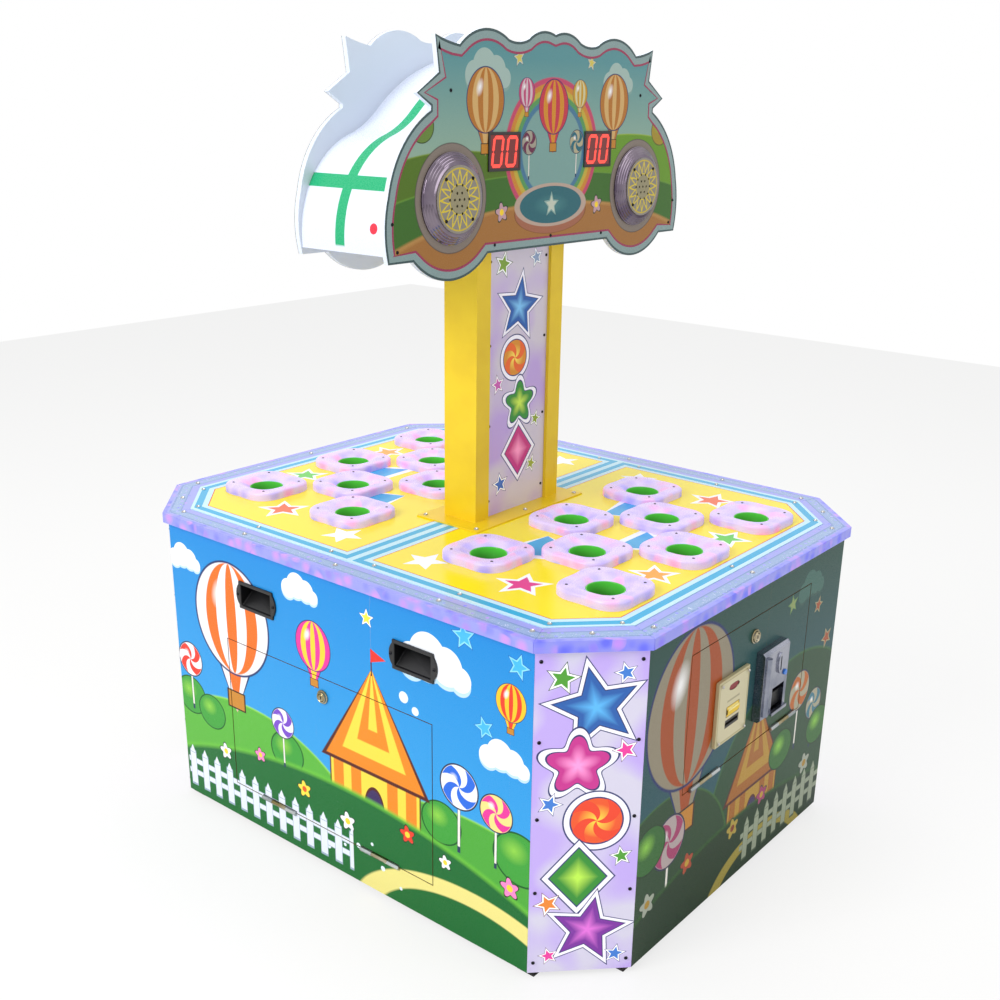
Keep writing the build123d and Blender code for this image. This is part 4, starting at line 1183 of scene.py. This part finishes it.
def screw(radius):
    """A button-head screw: a dome with a hexagonal socket, standing on z = 0."""
    dome = [(0.0, 0.0), (radius, 0.0), (radius * 0.96, radius * 0.3), (radius * 0.6, radius * 0.6)]
    head = turned(dome, 12, closed=False)
    rim = [edge for edge in head.edges if edge.is_boundary]
    top = bmesh.ops.contextual_create(head, geom=rim)["faces"]
    bmesh.ops.inset_region(head, faces=top, thickness=radius * 0.22)
    bmesh.ops.translate(head, verts=list({v for f in top for v in f.verts}), vec=(0, 0, -radius * 0.35))
    bmesh.ops.recalc_face_normals(head, faces=head.faces)
    return head


def level_places(height, *spots):
    """Placements that face up at a height, from (x, y) spots mirrored both ways."""
    places = sorted({(a * x, b * y, height) for x, y in spots for a, b in quarters})
    return [facing(place, (0, 0, 1)) for place in places]


def end_places(out, *spots):
    """Placements on the faces of both ends that lie this far out, from (x, z) spots mirrored both ways."""
    places = sorted({(a * x, b * out, z) for x, z in spots for a, b in quarters})
    return [facing(place, (0, 1 if place[1] > 0 else -1, 0)) for place in places]


ring_hole, ring_screw_sink = 0.052, 0.0014
flange_top = deck_level + 0.003
column_face = 0.036
header_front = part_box("header_face_panels")[1].y
grille_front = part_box("speaker_grilles")[1].y
handle_out, handle_y, handle_z, ear = 0.527, 0.222, 0.569, 0.0555
screw_places = {
    "ring": [
        facing((x + a * ring_hole, y + b * ring_hole, ring_top - ring_screw_sink), (0, 0, 1))
        for x, y in holes
        for a, b in quarters
    ],
    "deck": level_places(
        deck_level, (0.460, 0.060), (0.460, 0.280), (0.458, 0.485), (0.372, 0.578), (0.0, 0.583)
    ),
    "rim": level_places(
        rim_top, (0.506, 0.0), (0.506, 0.270), (0.500, 0.480), (0.441, 0.563), (0.350, 0.628), (0.0, 0.628)
    ),
    "column_flange": level_places(flange_top, (0.172, 0.072), (0.0, 0.066)),
    "column_panel": end_places(column_face, (0.091, 0.735), (0.091, 0.900), (0.091, 1.070), (0.091, 1.240)),
    "corner_panel": [
        facing((a * (corner_x + u * diagonal), b * (corner_y - u * diagonal), z), (a, b, 0))
        for a, b in quarters
        for u in (-0.088, 0.088)
        for z in (0.036, 0.190, 0.345, 0.500, 0.655)
    ],
    "header": end_places(
        header_front, (0.440, 1.292), (0.0, 1.292), (0.452, 1.340), (0.175, 1.286), (0.300, 1.560)
    ),
    "grille": [
        facing((a * speaker_x + u, b * grille_front, speaker_z + v), (0, b, 0))
        for a, b in quarters
        for u in (-0.036, 0.036)
        for v in (-0.036, 0.036)
    ],
    "handle": [
        facing((a * handle_out, b * handle_y + c * ear, handle_z), (a, 0, 0))
        for a, b in quarters
        for c in (1, -1)
    ],
}
print("screws", sum(len(places) for places in screw_places.values()))

# %% Screws
bright_screws = {"deck": 0.0046, "rim": 0.0050, "column_flange": 0.0052}
dark_screws = {
    "ring": 0.0034, "column_panel": 0.0032, "corner_panel": 0.0036, "header": 0.0034, "grille": 0.0034,
    "handle": 0.0034,
}
for finish, sizes in (("zinc-plated screw steel", bright_screws), ("blackened screw steel", dark_screws)):
    for held, radius in sizes.items():
        finished(gathered(screw(radius), screw_places[held]), f"{held}_screws", "lock_chrome", finish)

plate_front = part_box("front_payment_plate")[0].y
for b, end in ((-1, "front"), (1, "back")):
    places = [
        facing((-b * (plate_u + u), -b * plate_front, plate_z + v), (0, b, 0))
        for u in (-0.050, 0.050)
        for v in (-0.061, 0.061)
    ]
    heads = gathered(screw(0.0034), places)
    finished(heads, f"{end}_plate_screws", "lock_chrome", "zinc-plated screw steel", body=f"{end}_door")

# %% [markdown]
# ## Lock barrels
#
# A cam lock stands out of its door as a short chromed barrel. The collar is turned with a rounded
# shoulder and rides on the door. The plug's face with its keyway turns inside it, so it rides on the
# lock's own body and keeps a small gap to the collar.

# %% Lock barrels
collar_profile = [
    (0.0083, 0.0026),
    (0.0083, 0.0068),
    *arc((0.0100, 0.0056), (0.0020, 0.0024), 110, 0, 5),
    (0.0124, 0.0038),
    *arc((0.0140, 0.0026), (0.0009, 0.0010), 90, 0, 2),
]
plug, back, face = 0.0076, 0.0038, 0.0074
plug_profile = [(0, back), (plug, back), (plug, 0.0068), (0.0070, face), (0, face)]
keyway_size = (0.0014, 0.0064, 0.0004)
for side, place, outward in (
    ("side", (-0.523, 0.03, 0.411), (-1, 0, 0)),
    ("front", (0, -0.645, 0.568), (0, -1, 0)),
    ("back", (0, 0.645, 0.568), (0, 1, 0)),
):
    here = [facing(place, outward)]
    barrel = gathered(turned(collar_profile, 32), here)
    finished(barrel, f"{side}_lock_collar", "lock_chrome", body=f"{side}_door")
    turning = gathered(turned(plug_profile, 32, closed=False), here)
    finished(turning, f"{side}_plug_face", "lock_chrome", body=f"{side}_lock")
    keyway = gathered(cube(keyway_size, face + keyway_size[2]), here)
    finished(keyway, f"{side}_keyway", "lock_chrome", "blackened screw steel", body=f"{side}_lock")
print("lock barrels", 3)

# %% [markdown]
# ## Speaker bezels and grilles
#
# The bezels are chromed rings that rise like a funnel in steps, so that they mirror the lamps in
# thin circles. The grille is a disc with real holes: triangles fill what lies between its outline and
# the holes, and it is then given its thickness.

# %% Bezels
bezel_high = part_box("speaker_bezels")[1].y
bezel_rise = bezel_high - header_front
bezel_profile = [(0.0505, 0.0), (0.0815, 0.0), (0.0818, 0.003), (0.0795, 0.0045)]
for step in range(4):
    bezel_profile += arc((0.078 - step * 0.0042, 0.005 + step * 0.0031), (0.0022, 0.0026), 10, 90, 3)
bezel_profile += [(0.0625, bezel_rise - 0.0004), (0.060, bezel_rise), (0.0505, bezel_rise)]
funnels = gathered(turned(bezel_profile, 64), on_both_ends(speaker_x, header_front, speaker_z))
bezels = finished(funnels, "chrome_bezels", "chromed_plastic", sharp=50)
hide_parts("speaker_bezels")
print("bezels", len(quarters), "of", len(bezel_profile), "profile points")

# %% Grilles
grille_radius, grille_thick, hole_radius = 0.0598, 0.002, 0.0026
disc = bmesh.new()
bmesh.ops.create_circle(disc, segments=48, radius=grille_radius)
hole_rings = ((0.0, 1), (0.013, 6), (0.026, 10))
for ring_size, count in hole_rings:
    for step in range(count):
        turn = 2 * pi * step / count
        place = Matrix.Translation((ring_size * cos(turn), ring_size * sin(turn), 0))
        bmesh.ops.create_circle(disc, segments=8, radius=hole_radius, matrix=place)
bmesh.ops.triangle_fill(disc, use_beauty=True, edges=disc.edges)
discs = gathered(extruded(disc, (0, 0, grille_thick)), on_both_ends(speaker_x, bezel_high, speaker_z))
grilles = finished(discs, "sun_grilles", "grille_steel")
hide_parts("speaker_grilles")
print("grilles", len(quarters), "with", sum(count for _, count in hole_rings), "holes each")

# %% [markdown]
# ## The header's picture
#
# The header's print is a thin sheet: the front of the board is cut out of a copy of its mesh, and its
# holes are closed. Three insets of a second copy leave the border's bands, each with its own ink,
# which lie as a thin trim over the picture's edge.

# %% Header picture
rainbow = [
    (1.0, "#C84A6C"), (0.93, "#D08A34"), (0.86, "#C8B040"),
    (0.79, "#5A9A5A"), (0.72, "#4A7A9A"), (0.65, "#7FA6A0"),
]
header_stamps = [
    *cloud((-0.20, 1.590), 0.060, "#A8C0B8", "#86A8A0"),
    *cloud((0.215, 1.585), 0.050, "#A8C0B8", "#86A8A0"),
    *each(
        hill,
        ((0.26, 1.36), (0.34, 0.125), "#6A9A24", "#9AB83A"),
        ((-0.28, 1.34), (0.32, 0.120), "#55761E", "#7E9A34"),
        ((0.0, 1.30), (0.60, 0.115), "#3E6E26", "#6A9A34"),
    ),
    ("Oval", (0.0, 1.16), (0.62, 0.200), 0, [(1.0, "#B98A4C"), (0.97, "#A9743A")]),
    ("Oval", (0.0, 1.455), (0.150, 0.135), 0, rainbow),
    *each(
        balloon,
        ((0.0, 1.535), 0.046, ("#C83A4C", "#D8902C")), ((-0.205, 1.545), 0.052, ("#B8762E", "#D8B070")),
        ((0.205, 1.545), 0.050, ("#B8762E", "#D8B070")), ((-0.085, 1.560), 0.024, ("#C04A78", "#D8C0C8")),
        ((0.085, 1.560), 0.024, ("#C89A2A", "#D8D0A0")),
    ),
    *lollipop((-0.075, 1.470), 0.022, ("#A8A090", "#6A2A4A")),
    *lollipop((0.078, 1.470), 0.022, ("#B8B090", "#2A6A7A")),
    ("Oval", (0.0, 1.338), (0.118, 0.042), 0, [(1.0, "#7A4A24"), (0.98, "#A86A50")]),
    ("Oval", (0.0, 1.352), (0.118, 0.042), 0, [(1.0, "#C0A898"), (0.86, "#2E6A74"), (0.5, "#4E8A8C", 0.5)]),
    *star((0.0, 1.352), 0.022, 0, "#C8D0C0", "#2E5A64", "#8AB0A8"),
    *flower((-0.155, 1.345), 0.018, "#C8A0A8"),
    *flower((0.155, 1.345), 0.018, "#C8A0A8"),
    *bush((-0.375, 1.50), 0.030, "#6A8A3A", "#3A4A24"),
    *bush((0.385, 1.49), 0.034, "#A8902A", "#5A5A24"),
    *star((-0.110, 1.620), 0.014, 10, "#D8C860", "#4A5A54", "#C8D0C8"),
    *star((0.120, 1.618), 0.013, -10, "#D8C860", "#4A5A54", "#C8D0C8"),
    *((*seat, 0.098, 0, [(1.0, "#4A4440"), (0.985, "#8A7E74")]) for seat in speaker_seats),
]
tree = new_material("laminated header print")
plane = add_node(tree, "Group", node_tree=planes_tree)["End"]
height = add_node(tree, "SeparateXYZ", {0: plane})[1]
sky = graded(tree, height, 1.42, 1.62, "#9DB8A0", "#5E979C")
picture = print_stamps(tree, plane, sky, header_stamps)
surface(tree, picture, (0.2, 0.32), 1.6, 0.03, Specular_IOR_Level=laminate_specular)

# Each band of the border, from the outside inwards: its ink and its width
border_bands = {
    "dark teal border ink": ("#2F4C4E", 0.0045),
    "grey teal border ink": ("#87A09F", 0.0125),
    "crimson border ink": ("#9A2450", 0.0042),
}
for name, (ink, _) in border_bands.items():
    surface(new_material(name), ink, (0.2, 0.32), 1.6, 0.03)
print("header print", len(header_stamps), "stamps")

# %% Header sheet
sheet_thick = 0.0003
sheet = bmesh.new()
sheet.from_mesh(nodes["header_face_panels"].data)
bmesh.ops.remove_doubles(sheet, verts=sheet.verts, dist=1e-5)
hidden = [f for f in sheet.faces if f.normal.y > -0.99 or f.calc_center_median().y > 1e-4 - header_front]
bmesh.ops.delete(sheet, geom=hidden, context="FACES")
bmesh.ops.holes_fill(sheet, edges=[edge for edge in sheet.edges if edge.is_boundary], sides=20)
bmesh.ops.dissolve_limit(sheet, angle_limit=radians(1), verts=[], edges=sheet.edges)
border = sheet.copy()
print("header sheet", len(sheet.verts), "corners")

both_ends = [Matrix.Identity(4), Matrix.Rotation(pi, 4, "Z")]
pictures = gathered(extruded(sheet, (0, -sheet_thick, 0)), both_ends)
finished(pictures, "header_pictures", "header_print", "laminated header print")

# %% Header border
inner = border.faces[:]
for place, (_, width) in enumerate(border_bands.values()):
    band = bmesh.ops.inset_region(
        border, faces=inner, thickness=width, use_boundary=True, use_even_offset=False
    )
    for face in band["faces"]:
        face.material_index = place
bmesh.ops.delete(border, geom=inner, context="FACES_ONLY")
trim = gathered(extruded(border, (0, -sheet_thick * 2, 0)), both_ends)
finished(trim, "header_border", "header_print", *border_bands)
print("header border", len(border_bands), "bands")

# %% [markdown]
# ## Score digits
#
# Each display shows two red seven-segment digits behind a dark red filter. A segment is a thin bar
# with cut corners, and every digit stands a little slanted. The filter glows faintly as painted light from
# the lit display behind it.

# %% Digits
tree = new_material("lit red segment")
surface(tree, "#FF4A3A", (0.3, 0.4), 2.0, 0.01, Emission_Color="#FF3A30", Emission_Strength=1.0)
# The filter's faint glow is painted light from the lit display behind it
tree = new_material("dark red filter")
surface(tree, "#4A0806", (0.12, 0.2), 2.0, 0.01, Emission_Color="#8A1410", Emission_Strength=0.35)

digit_tall, digit_wide, digit_out, bar, bar_gap, slant = 0.057, 0.032, 0.0205, 0.0062, 0.001, 0.14
display_x, display_z = 0.1505, 1.455
display_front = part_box("score_displays")[1].y
digits_sink, filter_sink = 0.0014, 0.0013
segment_length, step_up = digit_wide - bar, (digit_tall - bar) / 2
segment = cube((segment_length - bar_gap, bar, 0.0008))
upright = [e for e in segment.edges if abs(e.verts[0].co.z - e.verts[1].co.z) > 0.0004]
bmesh.ops.bevel(
    segment, geom=upright, offset=bar * 0.46, offset_type="OFFSET", segments=1, profile=0.5, affect="EDGES",
    material=-1
)
stretch = Matrix.Diagonal(((step_up - bar_gap) / (segment_length - bar_gap), 1, 1, 1))
# A nought has all its segments lit but the middle one
level = [Matrix.Translation((0, k * step_up, 0)) for k in (-1, 1)]
upended = Matrix.Rotation(pi / 2, 4, "Z") @ stretch
standing = [
    Matrix.Translation((a * segment_length / 2, b * step_up / 2, 0)) @ upended for a, b in quarters
]
lean = Matrix(((1, slant, 0, 0), (0, 1, 0, 0), (0, 0, 1, 0), (0, 0, 0, 1)))
segment_places = [
    base @ Matrix.Translation((side * digit_out, 0, 0)) @ lean @ place
    for base in on_both_ends(display_x, display_front - digits_sink, display_z)
    for side in (-1, 1)
    for place in level + standing
]
print("score digits", len(segment_places), "lit segments")
finished(gathered(segment, segment_places), "score_digits", "display_plastic", "lit red segment")

pane = cube((0.0838, 0.0598, 0.0004))
bmesh.ops.bevel(pane, geom=pane.edges[:], offset=0.0001, segments=1, profile=0.5, affect="EDGES", material=-1)
panes = gathered(pane, on_both_ends(display_x, display_front - filter_sink, display_z))
finished(panes, "display_filters", "display_plastic", "dark red filter")

# %% [markdown]
# ## Plain soft light
#
# The floor is pale, and the world is white to the camera and to mirrors, so that chrome finds
# something bright to show. The strongest of three large soft lamps faces the door side, because in
# the photograph the player's end lies in shade. To the camera three quarters of the floor's colour is
# plain white, so that the machine's shadow shows on it only faintly.

# %% Floor, world and lamps
floor_half, floor_whiteness, ambient_strength = 6.0, 0.75, 0.55
shape = bmesh.new()
bmesh.ops.create_grid(shape, x_segments=1, y_segments=1, size=floor_half)
floor = bpy.data.objects.new("studio_floor", bpy.data.meshes.new("studio_floor"))
shape.to_mesh(floor.data)
shape.free()
scene.collection.objects.link(floor)
tree = new_material("painted studio floor")
known = {"seen": add_node(tree, "LightPath")["Is Camera Ray"], "whiteness": floor_whiteness}
calculate(tree, known, "share MULTIPLY seen whiteness")
painted = add_node(tree, "BsdfDiffuse", {0: "#F4F4F2"})[0]
white = add_node(tree, "Emission", {0: "#FFFFFF", 1: 1.0})[0]
mixed = add_node(tree, "MixShader", {0: known["share"], 1: painted, 2: white})[0]
add_node(tree, "OutputMaterial", {"Surface": mixed})
floor.data.materials.append(materials["painted studio floor"])

world = scene.world = bpy.data.worlds.new("studio")
world.use_nodes = True
tree = world.node_tree
tree.nodes.clear()
path = add_node(tree, "LightPath")
known = {kind: path[f"Is {kind} Ray"] for kind in ("Camera", "Transmission", "Glossy")}
known |= {"ambient": ambient_strength, "rest": 1 - ambient_strength}
calculate(
    tree,
    known,
    """
    through MAXIMUM Camera Transmission
    seen MAXIMUM through Glossy
    strength MULTIPLY_ADD seen rest ambient
    """,
)
sky = add_node(tree, "Background", {0: "#FFFFFF", 1: known["strength"]})[0]
add_node(tree, "OutputWorld", {0: sky})

for name, place, size, power in (
    ("key_lamp", (-4.2, 0.6, 3.4), 2.4, 150),
    ("fill_lamp", (1.6, -4.4, 2.6), 2.4, 34),
    ("top_lamp", (0.6, 0.4, 4.4), 2.6, 60),
):
    light = bpy.data.lights.new(name, "AREA")
    light.size = size
    light.energy = power
    lamp = bpy.data.objects.new(name, light)
    scene.collection.objects.link(lamp)
    lamp.location = place
    lamp.rotation_euler = (Vector((0, 0, 0.7)) - Vector(place)).to_track_quat("-Z", "Y").to_euler()
